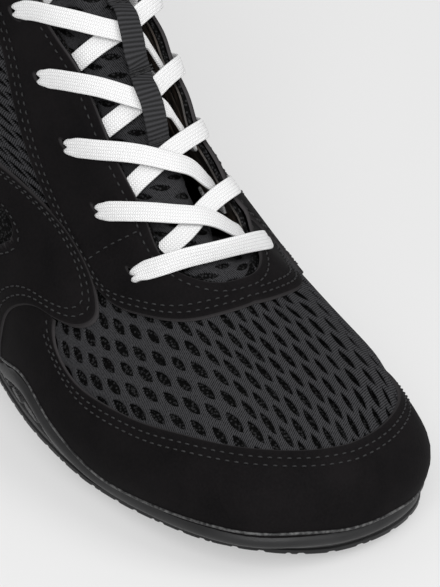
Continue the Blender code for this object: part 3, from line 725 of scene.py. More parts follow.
def honeycomb(name, long_range, wide_range, place, keep, off=0.0, wrinkle=None, turn=0.0, opened=1.0):
    """A sheet of cells with lens holes; place gives girth and climb, keep picks cells by their centres."""
    rng = np.random.default_rng(KNIT_SEED)
    low = np.array((long_range[0], wide_range[0]))
    high = np.array((long_range[1], wide_range[1]))
    reach = np.linalg.norm(high - low) / 2
    matrix = np.array(((math.cos(turn), math.sin(turn)), (-math.sin(turn), math.cos(turn))))

    def laid(lattice):
        return lattice @ matrix + (low + high) / 2

    centres = []
    for half in (0.0, 0.5):
        along = (np.arange(-reach // CELL_LONG, reach // CELL_LONG + 1) + half) * CELL_LONG
        across = (np.arange(-reach // CELL_WIDE, reach // CELL_WIDE + 1) + half) * CELL_WIDE
        centres.append(np.stack(np.meshgrid(along, across, indexing="ij"), axis=-1).reshape(-1, 2))
    centres = np.vstack(centres)
    spots = laid(centres)
    centres = centres[np.all((spots > low) & (spots < high), axis=1)]
    centres = centres[keep(np.column_stack(place(*laid(centres).T)))]
    size = rng.uniform(*HOLE_SIZES, (len(centres), 1, 1))
    nudge = rng.uniform(-HOLE_NUDGE, HOLE_NUDGE, (len(centres), 1, 2))
    levels, heights = [], []
    for share, scale, height in CELL_RINGS:
        lens = LENS * scale * opened * size + nudge * (share > 0)
        ring = CELL * (1 - share) + lens * share
        levels.append(centres[:, None, :] + ring)
        heights.append(np.full(levels[-1].shape[:2], height))
    flat = np.concatenate([level.reshape(-1, 2) for level in levels])
    height = np.concatenate([h.ravel() for h in heights])
    count = len(centres) * CELL_POINTS
    _, first, shared = np.unique((flat[:count] / SAME_PLACE).round().astype(int), axis=0,
                                 return_index=True, return_inverse=True)
    order = np.concatenate([first, np.arange(count, len(flat))])
    number = np.concatenate([shared.ravel(), np.arange(count, len(flat)) - count + len(first)])
    flat, height = flat[order], height[order]
    girth, climb = place(*laid(flat).T)
    rise = height + off + (0.0 if wrinkle is None else wrinkle(girth, climb))
    faces = []
    here = np.arange(count).reshape(-1, CELL_POINTS)
    for level in range(len(CELL_RINGS) - 1):
        a = level * count + here
        b = np.roll(a, -1, axis=1)
        quad = np.stack([number[a], number[b], number[b + count], number[a + count]], axis=-1)
        faces.append(quad.reshape(-1, 4))
    return from_arrays(name, world(skin(climb, girth, rise)), np.vstack(faces), uv=flat)

# %% [markdown]
# The knit is lasted with the overlays over it, so cells that lie deep under one are left out. Over the
# ridge of the foot the knit is drawn in and its rows lie closer; past the ridge it bulges a little.

# %% Vamp
VAMP_HIDDEN, VAMP_LOW, VAMP_HIGH = 7.0, 16.0, 77.0
VAMP_ALONG, VAMP_ACROSS = (0.0, VAMP_RUN[-1] + 4.0), (-103.0, 113.0)
DRAWN_IN, DRAWN_SHARE, BULGE = 20.0, 0.25, 1.4
# Where the bulge fades in: past the ridge, before the side, above the rand, below the eyestay
BULGE_RIDGE, BULGE_SIDE, BULGE_LOW, BULGE_HIGH = (-14.0, 12.0), (70.0, 40.0), (24.0, 36.0), (70.0, 60.0)


def vamp_keep(places):
    return ~deep_under(places, VAMP_HIDDEN) & (places[:, 1] < VAMP_HIGH) & (places[:, 1] > VAMP_LOW)


def vamp_laid(along, across):
    """The vamp's chart, with the knit drawn closer over the ridge of the foot."""
    return vamp_place(along, across - DRAWN_SHARE * (np.clip(across, -DRAWN_IN, DRAWN_IN) + DRAWN_IN))


def vamp_bulge(girth, climb):
    """The knit stands out a little beyond the ridge, between the eyestay and the rand."""
    beyond = smooth(*BULGE_RIDGE, girth) * smooth(*BULGE_SIDE, girth)
    return BULGE * beyond * smooth(*BULGE_LOW, climb) * smooth(*BULGE_HIGH, climb)


vamp = honeycomb("mesh_vamp", VAMP_ALONG, VAMP_ACROSS, vamp_laid, vamp_keep, wrinkle=vamp_bulge,
                 turn=VAMP_TURN)
finish_piece(vamp, knit, "air_mesh", angle=60)

# %% [markdown]
# The quarters are the same knit on both sides of the foot and shaft. They are flat enough to be laid
# out by girth and climb. On the inner side the girth runs the other way, so the faces are flipped.

# %% Quarters
QUARTER_HIDDEN, QUARTER_START, QUARTER_FRONT = 6.5, 26.0, 178.0
QUARTER_ROUND, QUARTER_UP = (30.0, 330.0), (-4.0, 232.0)


def quarter_keep(side):
    def keep(places):
        girth, climb = places.T
        shown = (np.abs(girth) < half_girth(climb, side) + 1) & (climb > 2.0) & (climb < COLLAR - 3)
        shown &= (np.abs(girth) > QUARTER_START) & (look_up(PLACES, climb, girth)[:, 0] < QUARTER_FRONT)
        return shown & ~deep_under(places, QUARTER_HIDDEN)
    return keep


for side, word in SIDES:
    quarter = honeycomb("mesh_quarter_" + word, QUARTER_ROUND, QUARTER_UP,
                        lambda along, across, side=side: (side * along, across), quarter_keep(side),
                        turn=QUARTER_TURN)
    if side < 0:
        edit_all(quarter, bpy.ops.mesh.flip_normals)
    finish_piece(quarter, knit, "air_mesh", angle=60)

# %% [markdown]
# ## Lining
# Behind the mesh lies the lining, a smooth tricot that is seen through the holes and inside the shoe.
# A grid is bent round the last as a tube that is slit at the throat; its seam and back are merged, and
# Solidify gives it its wall.

# %% Lining
LINING_OUT, LINING_WALL = -1.0, 1.0
THROAT_START, THROAT_ROUND, EDGE_REACH, EDGE_RIPPLE = 80.0, 4.0, 5.0, 0.7


def ripple(a, b, seed):
    """Gentle unevenness from a few crossing waves."""
    rng = np.random.default_rng(seed)
    total = np.zeros(np.broadcast(a, b).shape)
    for _ in range(7):
        u, v, shift = rng.uniform(-0.5, 0.5), rng.uniform(-0.5, 0.5), rng.uniform(0, 6.3)
        total = total + np.sin(a * u + b * v + shift)
    return total / 7


def throat_half(climb):
    climbs, girths = zip(*THROAT)
    opened = np.interp(climb, climbs, girths)
    return opened * np.sqrt(np.clip((climb - THROAT_START) / THROAT_ROUND, 0, 1))


def throat_edge(girth, climb):
    """How far the throat's edge stands off the foot, rippled, with the flare of the outer flap."""
    inset = np.abs(girth) - throat_half(climb)
    near = np.exp(-(inset / EDGE_REACH) ** 2) * smooth(THROAT_START, THROAT_START + THROAT_ROUND, climb)
    return near * (1.0 + EDGE_RIPPLE * ripple(girth, climb, 3)) + flare(girth, climb)


FLARE, FLARE_LOW, FLARE_BULGE, LACED_AT, LACED_SLANT = 1.4, 0.7, 0.7, 98.0, 0.35
# Where the flare fades in: from the eyelets to the edge, from the ridge, above the throat's foot
FLARE_EDGE, FLARE_RIDGE, FLARE_FOOT, FLARE_LOWER = (31.0, 15.0), (3.0, 13.0), (84.0, 94.0), (122.0, 100.0)


def flare(girth, climb):
    """How far the outer flap of the throat stands off the foot: most between the lace's strands."""
    phase = (climb - LACED_AT + LACED_SLANT * (girth - 17.0)) / EYELET_PITCH
    between_strands = 0.5 - 0.5 * np.cos(2 * math.pi * phase)
    high = FLARE + FLARE_LOW * smooth(*FLARE_LOWER, climb) + FLARE_BULGE * between_strands
    return high * smooth(*FLARE_EDGE, girth) * smooth(*FLARE_RIDGE, girth) * smooth(*FLARE_FOOT, climb)

# %% Lining shell
LINING_COLUMNS, LINING_ROWS = 121, 150
shell, flat = flat_grid("lining", LINING_COLUMNS, LINING_ROWS)
# Rows lie closer at the foot of the throat
rows = np.concatenate([np.linspace(TUCK, 78.0, 60), np.linspace(79.0, 86.0, 15),
                       np.linspace(88.0, COLLAR - 0.5, 76)])
climb = rows[np.round((flat[:, 1] + 1) / 2 * LINING_ROWS).astype(int)]
side = np.where(flat[:, 0] < 0, -1, 1)
half = np.where(side < 0, half_girth(climb, -1), half_girth(climb, 1))
start = throat_half(climb)
share = (np.abs(flat[:, 0]) * LINING_COLUMNS - 1) / (LINING_COLUMNS - 1)
girth = side * (start + (half - start) * share)
cells = bmesh.new()
cells.from_mesh(shell.data)
slit = [f for f in cells.faces if abs(f.calc_center_median().x) < 1 / LINING_COLUMNS
        and rows[int((f.calc_center_median().y + 1) / 2 * LINING_ROWS)] >= THROAT_START - 0.1]
bmesh.ops.delete(cells, geom=slit, context="FACES_ONLY")
cells.to_mesh(shell.data)
cells.free()
move_to(shell, world(skin(climb, girth, LINING_OUT + throat_edge(girth, climb))))
edit_all(shell, bpy.ops.mesh.remove_doubles, threshold=0.3 * MM)
apply(shell, "SOLIDIFY", thickness=LINING_WALL * MM, offset=-1.0)
finish_piece(shell, lining, "air_mesh", "upper", angle=50)

# %% [markdown]
# The flaps of the throat are faced inside with thin leather, which shows on the far flap where the lace
# pulls it up. Long creases run along it, so its sheet is laid with waves across it. The leather is dark
# brown; the paler streaks along its creases are painted highlights.

# %% Facing
facing_leather, tree, place = start_finish("facing leather", 0.5, 0.4)
crease = add(tree, "Mapping", {"Vector": place["UV"], "Scale": (1.0, 0.12, 1.0)})
crease_relief_and_highlight = add(tree, "TexNoise", {"Vector": crease[0], "Scale": 0.9, "Detail": 4.0})
# Dark brown leather, paler where the crease relief is high: painted highlights
tone = add(tree, "ValToRGB", {"Fac": crease_relief_and_highlight["Fac"]}, stops=((0.4, "#110f0d"), (0.75, "#4a4038")))
end_finish(tree, tone["Color"], crease_relief_and_highlight["Fac"], 0.8, 0.8)

FACING_FOOT, FACING_WIDE, FACING_WALL, FACING_OFF, FACING_FOLD = 83.5, 13.0, 0.5, -2.45, 0.2
for side, word in SIDES:
    facing, flat = flat_grid("facing_" + word, 26, 160)
    climb = FACING_FOOT + (flat[:, 1] + 1) / 2 * (COLLAR - 1.5 - FACING_FOOT)
    inset = 0.1 + FACING_WIDE * (flat[:, 0] + 1) / 2
    girth = side * (throat_half(climb) + inset)
    wave = np.sin(1.1 * inset + 0.09 * climb + 2.0 * ripple(girth * 0.2, climb * 0.3, 21))
    fold = FACING_FOLD * wave * smooth(0.0, 3.0, inset)
    move_to(facing, world(skin(climb, girth, FACING_OFF + throat_edge(girth, climb) + fold)))
    lay_uv(facing.data, facing.data.uv_layers.active, np.column_stack([inset, climb]))
    apply(facing, "SOLIDIFY", thickness=FACING_WALL * MM, offset=0.0)
    finish_piece(facing, facing_leather, "air_mesh", angle=60)

# %% [markdown]
# ## Tongue
# The tongue is the same air mesh over thin foam, with the rows turned across it. The lace presses it
# into folds, which are listed one by one: each fold is a ridge across the tongue with its own height.

# %% Tongue
TONGUE_TOP, TONGUE_CROWN, TONGUE_RIPPLE = -2.4, 0.9, 0.5
# How far each edge is pressed down, and between which girths; the dips start and end along the tongue
DIP_INNER, DIP_OUTER, INNER_SPAN, OUTER_SPAN = 2.2, 7.0, (-8.0, -16.0), (-2.0, 13.0)
DIP_START, DIP_END = (82.0, 90.0), (222.0, 196.0)
# Folds: climb where they cross the middle, slant, width and height
FOLDS = (
    (90.0, 0.25, 2.2, 0.5), (101.0, -0.3, 2.6, 0.8), (110.0, 0.2, 2.2, 0.7), (121.0, 0.35, 2.4, 0.9),
    (131.0, -0.25, 2.8, 0.8), (141.0, 0.2, 2.4, 0.9), (151.0, -0.2, 2.6, 0.8), (163.0, 0.25, 3.0, 0.6),
    (181.0, -0.2, 3.0, 0.5),
)
TONGUE_FOOT, TONGUE_LONG, TONGUE_HALF = 60.0, 175.5, 25.5
FOAM_UNDER, FOAM_THICK, FOAM_ROUND = 0.75, 2.4, 0.9
# The knit on the tongue: its sheet, which of its cells are kept, and how far its holes are open
FACE_ACROSS, FACE_ALONG = (-27.5, 27.5), (60.0, 236.0)
FACE_HALF, FACE_SPAN, FACE_OPEN = 23.0, (62.0, 233.0), 0.8


def tongue_wrinkle(girth, climb):
    """Height of the folds, and the dip where the eyestay and the lace press the edges down."""
    total = TONGUE_RIPPLE * ripple(girth * 1.3, climb * 1.3, 11)
    for middle, slant, width, height in FOLDS:
        total = total + height * np.exp(-((climb - middle - slant * girth) / width) ** 2)
    dip = DIP_INNER * smooth(*INNER_SPAN, girth)
    dip = dip + DIP_OUTER * smooth(*OUTER_SPAN, girth) * smooth(*DIP_START, climb)
    return total + TONGUE_CROWN - dip * smooth(*DIP_END, climb)


def tongue_place(along, across):
    return along, across


def tongue_keep(places):
    girth, climb = places.T
    return (np.abs(girth) < FACE_HALF) & (climb > FACE_SPAN[0]) & (climb < FACE_SPAN[1])


tongue_face = honeycomb("mesh_tongue", FACE_ACROSS, FACE_ALONG, tongue_place, tongue_keep,
                        off=TONGUE_TOP, wrinkle=tongue_wrinkle, opened=FACE_OPEN)
finish_piece(tongue_face, dark_knit, "air_mesh", angle=60)

tongue_back, flat = flat_grid("tongue_foam", 30, 120)
climb = TONGUE_FOOT + (flat[:, 1] + 1) / 2 * TONGUE_LONG
girth = TONGUE_HALF * flat[:, 0]
move_to(tongue_back, world(skin(climb, girth, TONGUE_TOP - FOAM_UNDER + tongue_wrinkle(girth, climb))))
apply(tongue_back, "SOLIDIFY", thickness=FOAM_THICK * MM, offset=-1.0)
apply(tongue_back, "BEVEL", width=FOAM_ROUND * MM, segments=3, limit_method="ANGLE",
      angle_limit=math.radians(60))
finish_piece(tongue_back, lining, "air_mesh", "tongue")

# %% [markdown]
# ## Overlays
# Nubuck is cut flat, skived at its edge and sewn down with two rows of thread. Each overlay is filled
# with triangles inside its drawn outline, finer along the edge and the seams; the edge is rounded off,
# the seams are pressed in, and the sheet is then pulled over the last.

# %% Cutting and lasting
OVERLAY_BASE, OVERLAY_THICK = 0.3, 1.0
EDGE_ROUND, EDGE_LINE, EDGE_SHARE = 0.3, 0.22, 0.45
CUP_SQUEEZE, CUP_DEPTHS = 0.5, (0.5, 3.0)
SEAM_PRESS, SEAM_WIDTH = 0.24, 0.6
# Where the points of a filled sheet go: rows along an edge, a hole and a seam, and how far the even
# ones keep from edges and seams
EDGE_RINGS, HOLE_RINGS, SEAM_RINGS = (0.2, 0.45, 1.1), (0.2, 0.5), (-0.65, 0.0, 0.65)
FILL_STEP, SEAM_STEP, EDGE_CLEAR, SEAM_CLEAR, NEAREST = 3.2, 1.5, 1.6, 1.3, 0.14


def left_of(run):
    """Unit directions to the left of a run of flat directions."""
    return unit(np.column_stack([-run[:, 1], run[:, 0]]))


def inward(outline):
    """Unit directions into a closed outline that runs anticlockwise."""
    return left_of(np.roll(outline, -1, axis=0) - np.roll(outline, 1, axis=0))


def seam_lines(outline, depth, where):
    """Lines at a depth in from the edge, where the edge point passes the test, split at the gaps."""
    moved = outline + depth * inward(outline)
    good = where(outline) & (distance_to(outline, moved) > depth * 0.96)
    if good.all():
        return [np.vstack([moved, moved[:1]])]
    first = int(np.argmin(good))
    good, moved = np.roll(good, -first), np.roll(moved, -first, axis=0)
    lines, current = [], []
    for ok, point in zip(good, moved):
        if ok:
            current.append(point)
        elif current:
            lines.append(current)
            current = []
    if current:
        lines.append(current)
    return [np.array(line) for line in lines if len(line) > 4]

# %% Filling an outline


def fill(outline, holes, seams):
    """Triangles inside an outline, with points along its edge, holes and seams and evenly between."""
    loops = [outline] + list(holes)
    extra = [outline + d * inward(outline) for d in EDGE_RINGS]
    for hole in holes:
        extra += [hole - d * inward(hole) for d in HOLE_RINGS]
    for seam in seams:
        line = evenly(seam, SEAM_STEP)
        across = left_of(np.gradient(line, axis=0))
        extra += [line + d * across for d in SEAM_RINGS]
    low, high = outline.min(axis=0), outline.max(axis=0)
    rows = np.arange(low[1], high[1], FILL_STEP * 0.87)
    cols = np.arange(low[0], high[0], FILL_STEP)
    grid = np.array([(x + FILL_STEP / 2 * (k % 2), y) for k, y in enumerate(rows) for x in cols])
    clear = distance_to(outline, grid) > EDGE_CLEAR
    for seam in seams:
        clear &= distance_to(seam, grid, closed=False) > SEAM_CLEAR
    extra.append(grid[clear])
    extra = np.vstack(extra)
    extra = extra[inside(outline, extra) & (distance_to(outline, extra) > NEAREST)]
    for hole in holes:
        extra = extra[~inside(hole, extra) & (distance_to(hole, extra) > NEAREST)]
    points, edges = [], []
    for loop in loops:
        start = len(points)
        points += loop.tolist()
        edges += [(start + k, start + (k + 1) % len(loop)) for k in range(len(loop))]
    points += extra.tolist()
    made = mathutils.geometry.delaunay_2d_cdt([mathutils.Vector(p) for p in points], edges, [], 1, 1e-4)
    flat = np.array([tuple(v) for v in made[0]])
    faces = np.array([f for f in made[2] if len(f) == 3])
    centre = flat[faces].mean(axis=1)
    keep = inside(outline, centre)
    for hole in holes:
        keep &= ~inside(hole, centre)
    return flat, faces[keep]

# %% Pulling a sheet over the last


def cut_piece(name, outline, seams, holes, base, thick, lift):
    """A lasted sheet of nubuck with a rounded edge and pressed seams, thinner inside the sole's cup."""
    flat, faces = fill(outline, holes, seams)
    depth = distance_to(outline, flat)
    for hole in holes:
        depth = np.minimum(depth, distance_to(hole, flat))
    curve = 1 - np.clip(depth / EDGE_ROUND, 0, 1)
    top = base + thick * (EDGE_SHARE + (1 - EDGE_SHARE) * np.sqrt(np.clip(1 - curve ** 2, 0, 1)))
    for seam in seams:
        top = top - SEAM_PRESS * np.exp(-(distance_to(seam, flat, closed=False) / SEAM_WIDTH) ** 2)
    x = look_up(PLACES, flat[:, 1], flat[:, 0])[:, 0]
    top = top - CUP_SQUEEZE * smooth(*CUP_DEPTHS, rim_climb(x, flat[:, 0]) - flat[:, 1])
    if lift is not None:
        base = base + lift(flat[:, 0], flat[:, 1])
        top = top + lift(flat[:, 0], flat[:, 1])
    line = np.exp(-(depth / EDGE_LINE) ** 2)
    count = len(flat)
    upper = world(skin(flat[:, 1], flat[:, 0], top))
    under = world(skin(flat[:, 1], flat[:, 0], base))
    sides = np.vstack([faces[:, [0, 1]], faces[:, [1, 2]], faces[:, [2, 0]]])
    known = {tuple(edge) for edge in sides.tolist()}
    rim = [edge for edge in sides.tolist() if (edge[1], edge[0]) not in known]
    walls = [(a + count, b + count, b, a) for a, b in rim]
    every = faces.tolist() + (faces[:, ::-1] + count).tolist() + walls
    return from_arrays(name, np.vstack([upper, under]), every, uv=np.vstack([flat, flat]),
                       mark=np.tile(line, 2))

# %% [markdown]
# A stitch is a short length of thread that stands a little proud of the nubuck and dives in at both
# ends. One stitch is modelled with some two dozen faces and copied along the seams as one mesh.

# %% Stitches
STITCH_PITCH, STITCH_LENGTH, THREAD_RADIUS, THREAD_PROUD = 2.4, 1.35, 0.24, 0.12
SEAM_DEPTHS = (2.3, 4.3)
# Rings of a stitch: share of the half length, share of the radius, and height
STITCH_RINGS = ((-1.0, 0.45, -0.35), (-0.72, 0.95, 0.0), (0.0, 1.0, 0.16), (0.72, 0.95, 0.0),
                (1.0, 0.45, -0.35))
STITCH_SIDES, AIM_STEP = 6, 0.6


def stitch_shape():
    """Places (along, across, up) of a five-ring stitch, and its faces."""
    sides = STITCH_SIDES
    points, faces = [], []
    for along, wide, up in STITCH_RINGS:
        for k in range(sides):
            angle = 2 * math.pi * k / sides
            points.append((along * STITCH_LENGTH / 2, wide * THREAD_RADIUS * math.cos(angle),
                           up + wide * THREAD_RADIUS * math.sin(angle)))
    for start in range(0, len(points) - sides, sides):
        for k in range(sides):
            n = (k + 1) % sides
            faces.append((start + k, start + n, start + sides + n, start + sides + k))
    faces.append(tuple(range(sides))[::-1])
    faces.append(tuple(range(len(points) - sides, len(points))))
    return np.array(points), faces


def sew(name, seams, off, pitch=STITCH_PITCH, lift=None):
    """Stitches along seams of (girth, climb) places, at a height off the skin."""
    shape, shape_faces = stitch_shape()
    points, faces = [], []
    for seam in seams:
        path = skin(seam[:, 1], seam[:, 0], off)
        run = run_of(path)
        for middle in np.arange(pitch / 2, run[-1], pitch):
            def at(r):
                g, c = (np.interp(r, run, seam[:, k]) for k in (0, 1))
                high = off if lift is None else off + lift(g, c)
                return skin(c, g, high), skin(c, g, high + 1.0)
            place, lifted = at(middle)
            along = unit(at(middle + AIM_STEP)[0] - at(middle - AIM_STEP)[0])
            up = lifted - place
            across = np.cross(up, along)
            start = len(points) * len(shape)
            points.append(place + shape[:, :1] * along + shape[:, 1:2] * across + shape[:, 2:] * up)
            faces += [[start + k for k in face] for face in shape_faces]
    piece = from_arrays(name, world(np.vstack(points)), faces)
    faces_out(piece)
    finish_piece(piece, thread, "nubuck", angle=70)

# %% Sewing an overlay


def double(key, where):
    """Two rows of thread along the part of an overlay's edge that passes the test."""
    return [line for depth in SEAM_DEPTHS for line in seam_lines(OUTLINES[key], depth, where)]


def overlay(name, key, seams, *stands_for, sewn=None, holes=(), base=OVERLAY_BASE, thick=OVERLAY_THICK,
            lift=None):
    """Cut, last and sew one overlay."""
    piece = cut_piece("nubuck_" + name, OUTLINES[key], seams, holes, base, thick, lift)
    finish_piece(piece, nubuck, "nubuck", *stands_for)
    sew("stitches_" + (sewn or name), seams, base + thick - SEAM_PRESS + THREAD_PROUD, lift=lift)

# %% [markdown]
# The toe rand wraps the toe and runs back along both sides to the saddles. It could be a strip pulled
# round an edge, but its upper edge is a drawn curve, so it is cut to its outline like the others.

# %% Toe rand
RAND_SEWN_FROM, RAND_SEWN_REACH = 20.0, 88.0


def on_rand_top(edge):
    return (edge[:, 1] > RAND_SEWN_FROM) & (np.abs(edge[:, 0]) < RAND_SEWN_REACH)


overlay("rand", "rand", double("rand", on_rand_top), "toe_rand")

# %% [markdown]
# The saddle lies on top of the rand and the eyestay, so it is a little thicker than they are, and its
# edge shows as a step. An oval window with mesh in it is cut in its middle.

# %% Saddles
SADDLE_THICK = 1.6
WINDOW_X, WINDOW_CLIMB, WINDOW_LONG, WINDOW_HIGH, WINDOW_SLOPE = 152.5, 55.0, 19.0, 13.0, 0.25


def window_outline(side):
    """The oval window, drawn by x and climb."""
    rows = []
    for angle in np.linspace(0, 2 * math.pi, 49)[:-1]:
        x = WINDOW_X + WINDOW_LONG * math.cos(angle)
        rise = WINDOW_HIGH * math.sin(angle) + WINDOW_SLOPE * (x - WINDOW_X)
        rows.append((x, WINDOW_CLIMB + rise))
    return anticlockwise(np.array(along_side(rows, side)))


def on_saddle_edge(edge):
    return (edge[:, 1] > 1.0) & (look_up(PLACES, edge[:, 1], edge[:, 0])[:, 0] > SADDLE_BACK[0] + 1.5)


for side, word in SIDES:
    name = "saddle_" + word
    hole = window_outline(side)
    ring = hole - SEAM_DEPTHS[0] * inward(hole)
    seams = double(name, on_saddle_edge) + [np.vstack([ring, ring[:1]])]
    overlay(name, name, seams, name, holes=[hole], thick=SADDLE_THICK)

# %% [markdown]
# The eyestay is a horseshoe round the throat with eight pairs of punched eyelets. It has twin rows of
# thread round its outside, one along the throat, and a seam on each side where its wings are joined.
# The outer wing is lifted with the flap that the lace pulls up.

# %% Eyestay
EYELET_POINTS, THROAT_SEAM, STAY_TOP = 16, 3.0, COLLAR - 4
# Half of the joint seam, as girth and climb
STAY_JOINT = ((52.0, 69.0), (34.0, 83.0), (17.4, 95.0))


def eyelet_hole(pair, side):
    angle = np.linspace(0, 2 * math.pi, EYELET_POINTS + 1)[:-1]
    return np.column_stack([side * EYELET_GIRTH + EYELET_RADIUS * np.cos(angle),
                            EYELET_FIRST + EYELET_PITCH * pair + EYELET_RADIUS * np.sin(angle)])


def on_stay_outside(edge):
    inner = np.interp(edge[:, 1], *zip(*THROAT)) + 6
    return (edge[:, 1] < STAY_TOP) & ((np.abs(edge[:, 0]) > inner) | (edge[:, 1] < 78.5))


def on_stay_throat(edge):
    return (edge[:, 1] < STAY_TOP) & ~on_stay_outside(edge)


stay_seams = double("eyestay", on_stay_outside)
stay_seams += seam_lines(OUTLINES["eyestay"], THROAT_SEAM, on_stay_throat)
stay_seams += [bowed(np.array(STAY_JOINT) * (side, 1), SEAM_STEP) for side in (-1, 1)]
eyelets = [eyelet_hole(pair, side) for pair in range(EYELET_PAIRS) for side in (-1, 1)]
overlay("eyestay", "eyestay", stay_seams, "eyestay", holes=eyelets, lift=flare)

# %% [markdown]
# The heel has a counter, and a tape that covers the back seam from the counter to the collar band.
# They lie outside the photograph, so they are kept plain.

# %% Heel counter, back tape and collar band
TAPE_BASE, TAPE_SEAM, TAPE_SEWN, BAND_SEAM, COUNTER_SEWN_FROM = 0.1, 1.8, (95.0, 211.0), 2.2, 3.0


def on_tape_side(edge):
    return (edge[:, 1] > TAPE_SEWN[0]) & (edge[:, 1] < TAPE_SEWN[1])


def on_counter_top(edge):
    return edge[:, 1] > COUNTER_SEWN_FROM


def on_band(edge):
    return np.ones(len(edge), bool)


tape_seams = seam_lines(OUTLINES["tape"], TAPE_SEAM, on_tape_side)
overlay("back_tape", "tape", tape_seams, sewn="tape", base=TAPE_BASE)
overlay("counter", "counter", double("counter", on_counter_top), "heel_counter")
band_seams = seam_lines(OUTLINES["band"], BAND_SEAM, on_band)
overlay("collar_band", "band", band_seams, "collar_band", sewn="band")

# %% [markdown]
# ## Lace
# The lace is a flat tubular braid of white polyester, 5.2 mm wide. It runs from each eyelet inside the
# shoe, comes out under the eyestay's edge, crosses to the other side and goes in at the next eyelet,
# where it folds in two to pass the hole. Its braid shows as rows of small slanted stitches, which the
# finish draws from the UV map, in millimetres along and across the lace.

# %% Braid finish
COURSE, WALE, STITCH_LEAN = 0.62, 0.87, 1.1
braid, tree, place = start_finish("flat polyester braid", 0.8, 0.2)
split = add(tree, "SeparateXYZ", {"Vector": place["UV"]})
# Each column is a chain of small v stitches: the lean turns over in the middle of the column.
wale = add(tree, "Math", {0: split["X"], 1: WALE / 2}, operation="PINGPONG")
lean = add(tree, "Math", {0: wale[0], 1: STITCH_LEAN, 2: split["Y"]}, operation="MULTIPLY_ADD")
stitch = add(tree, "Math", {0: lean[0], 1: COURSE / 2}, operation="PINGPONG")
high = add(tree, "Math", {0: stitch[0], 1: 2 / COURSE}, operation="MULTIPLY")
gully = add(tree, "Math", {0: wale[0], 1: 6 / WALE}, operation="MULTIPLY")
deep = add(tree, "Math", {0: high[0], 1: gully[0]}, operation="MINIMUM")
tone = add(tree, "ValToRGB", {"Fac": deep[0]}, stops=((0.0, "#bdbdbe"), (0.5, "#f0f0f0")))
end_finish(tree, tone["Color"], deep[0], 0.6, 0.3)
print("finish:", braid.name)

# %% Ribbons
LACE_WIDTH, LACE_THICK = 5.2, 1.1
LACE_RIDE = OVERLAY_BASE + OVERLAY_THICK + 0.1
SECTION_POINTS = 28
# An end that goes into an eyelet: radius of its turn, how far its lobes reach, what hangs down inside
TURN, LOBE, LOBE_RUN, TAIL = 0.8, 0.7, 4.0, 4.0
# The lobes' rise over the band, its dip between them, how far the edge is set in, and the narrowing
LOBE_RISE, LOBE_DIP, LOBE_SET, LOBE_NARROW = 0.45, 0.2, 0.3, 0.2
SECTION_POWER, PINCH_SPAN = 0.7, (0.44, 0.34)


def ribbon(knots, width, thick, spacing, tucked=(False, False), ribs=None, tilt=0.0, pinch=0.0):
    """Points, faces and UV of a flat band through (girth, climb, off) knots; off is its underside.
    A tucked end turns down in two round lobes; ribs(mm along) adds to the thickness; tilt raises one
    edge along the middle, pinch gathers the start of the band."""
    knots = np.asarray(knots, float)
    at = run_of(skin(knots[:, 1], knots[:, 0], knots[:, 2]))
    length = at[-1]
    fine = np.linspace(0, length, int(4 * length))
    path = spline(at, knots, fine)
    points = skin(path[:, 1], path[:, 0], path[:, 2])
    run = unit(np.gradient(points, axis=0))
    across = unit(np.cross(look_up(NORMALS, path[:, 1], path[:, 0]), run))
    normal = np.cross(run, across)
    lean = tilt * np.sin(math.pi * fine / length)[:, None]
    level, upright = across, normal
    across = level * np.cos(lean) + upright * np.sin(lean)
    normal = upright * np.cos(lean) - level * np.sin(lean)

    first = -TAIL if tucked[0] else 0.0
    last = length + TAIL if tucked[1] else length
    count = int((last - first) / spacing)
    along = np.linspace(first, last, count + 1)[:, None]
    angle = np.linspace(0, 2 * math.pi, SECTION_POINTS + 1)[None, :-1]
    wide = np.sign(np.cos(angle)) * np.abs(np.cos(angle)) ** SECTION_POWER
    tall = np.sign(np.sin(angle)) * np.abs(np.sin(angle)) ** SECTION_POWER
    late = along > length / 2
    past = np.where(late, along - length, -along)
    ended = np.where(late, tucked[1], tucked[0])
    squeeze = ended * smooth(-LOBE_RUN, 0.0, past)
    lobes = 1 - (2 * np.abs(wide) - 1) ** 2
    swell = 0.0 if ribs is None else ribs(along)
    up = thick / 2 + tall * (thick + swell) / 2 + squeeze * (tall > 0) * (LOBE_RISE * lobes - LOBE_DIP)
    edge = LOBE * lobes - LOBE_SET
    over = np.where(ended, past - edge + TURN, -1.0)
    turn = np.clip(over / TURN, 0, math.pi / 2)
    fall = np.maximum(over - TURN * math.pi / 2, 0)
    past = np.where(over > 0, edge - TURN + (TURN + up) * np.sin(turn), past)
    up = np.where(over > 0, (TURN + up) * np.cos(turn) - TURN - fall, up)
    spot = np.where(late, length + past, -past)
    held = np.clip(spot, 0, length)

    def read(table):
        return np.stack([np.interp(held, fine, table[:, k]) for k in range(3)], axis=-1)

    spread = wide * width / 2 * (1 - LOBE_NARROW * squeeze) * (1 - pinch * smooth(*PINCH_SPAN, held / length))
    ring = read(points) + read(run) * (spot - held)[..., None]
    ring = ring + read(across) * spread[..., None] + read(normal) * up[..., None]
    uv = np.stack(np.broadcast_arrays(wide * width / 2 + width / 2, along), axis=-1)
    here = np.arange(count)[:, None] * SECTION_POINTS + np.arange(SECTION_POINTS)
    there = np.roll(here, -1, axis=1)
    faces = np.stack([here, there, there + SECTION_POINTS, here + SECTION_POINTS], axis=-1)
    faces = faces.reshape(-1, 4).tolist()
    faces.append(list(range(SECTION_POINTS))[::-1])
    faces.append([count * SECTION_POINTS + k for k in range(SECTION_POINTS)])
    return ring.reshape(-1, 3), faces, uv.reshape(-1, 2)

# %% Several ribbons in one piece


def joined(name, ribbons):
    """One object of several ribbons, faces outward."""
    points, faces, uvs, start = [], [], [], 0
    for p, f, uv in ribbons:
        points.append(p)
        uvs.append(uv)
        faces += [[start + k for k in face] for face in f]
        start += len(p)
    piece = from_arrays(name, world(np.vstack(points)), faces, uv=np.vstack(uvs))
    faces_out(piece)
    return piece
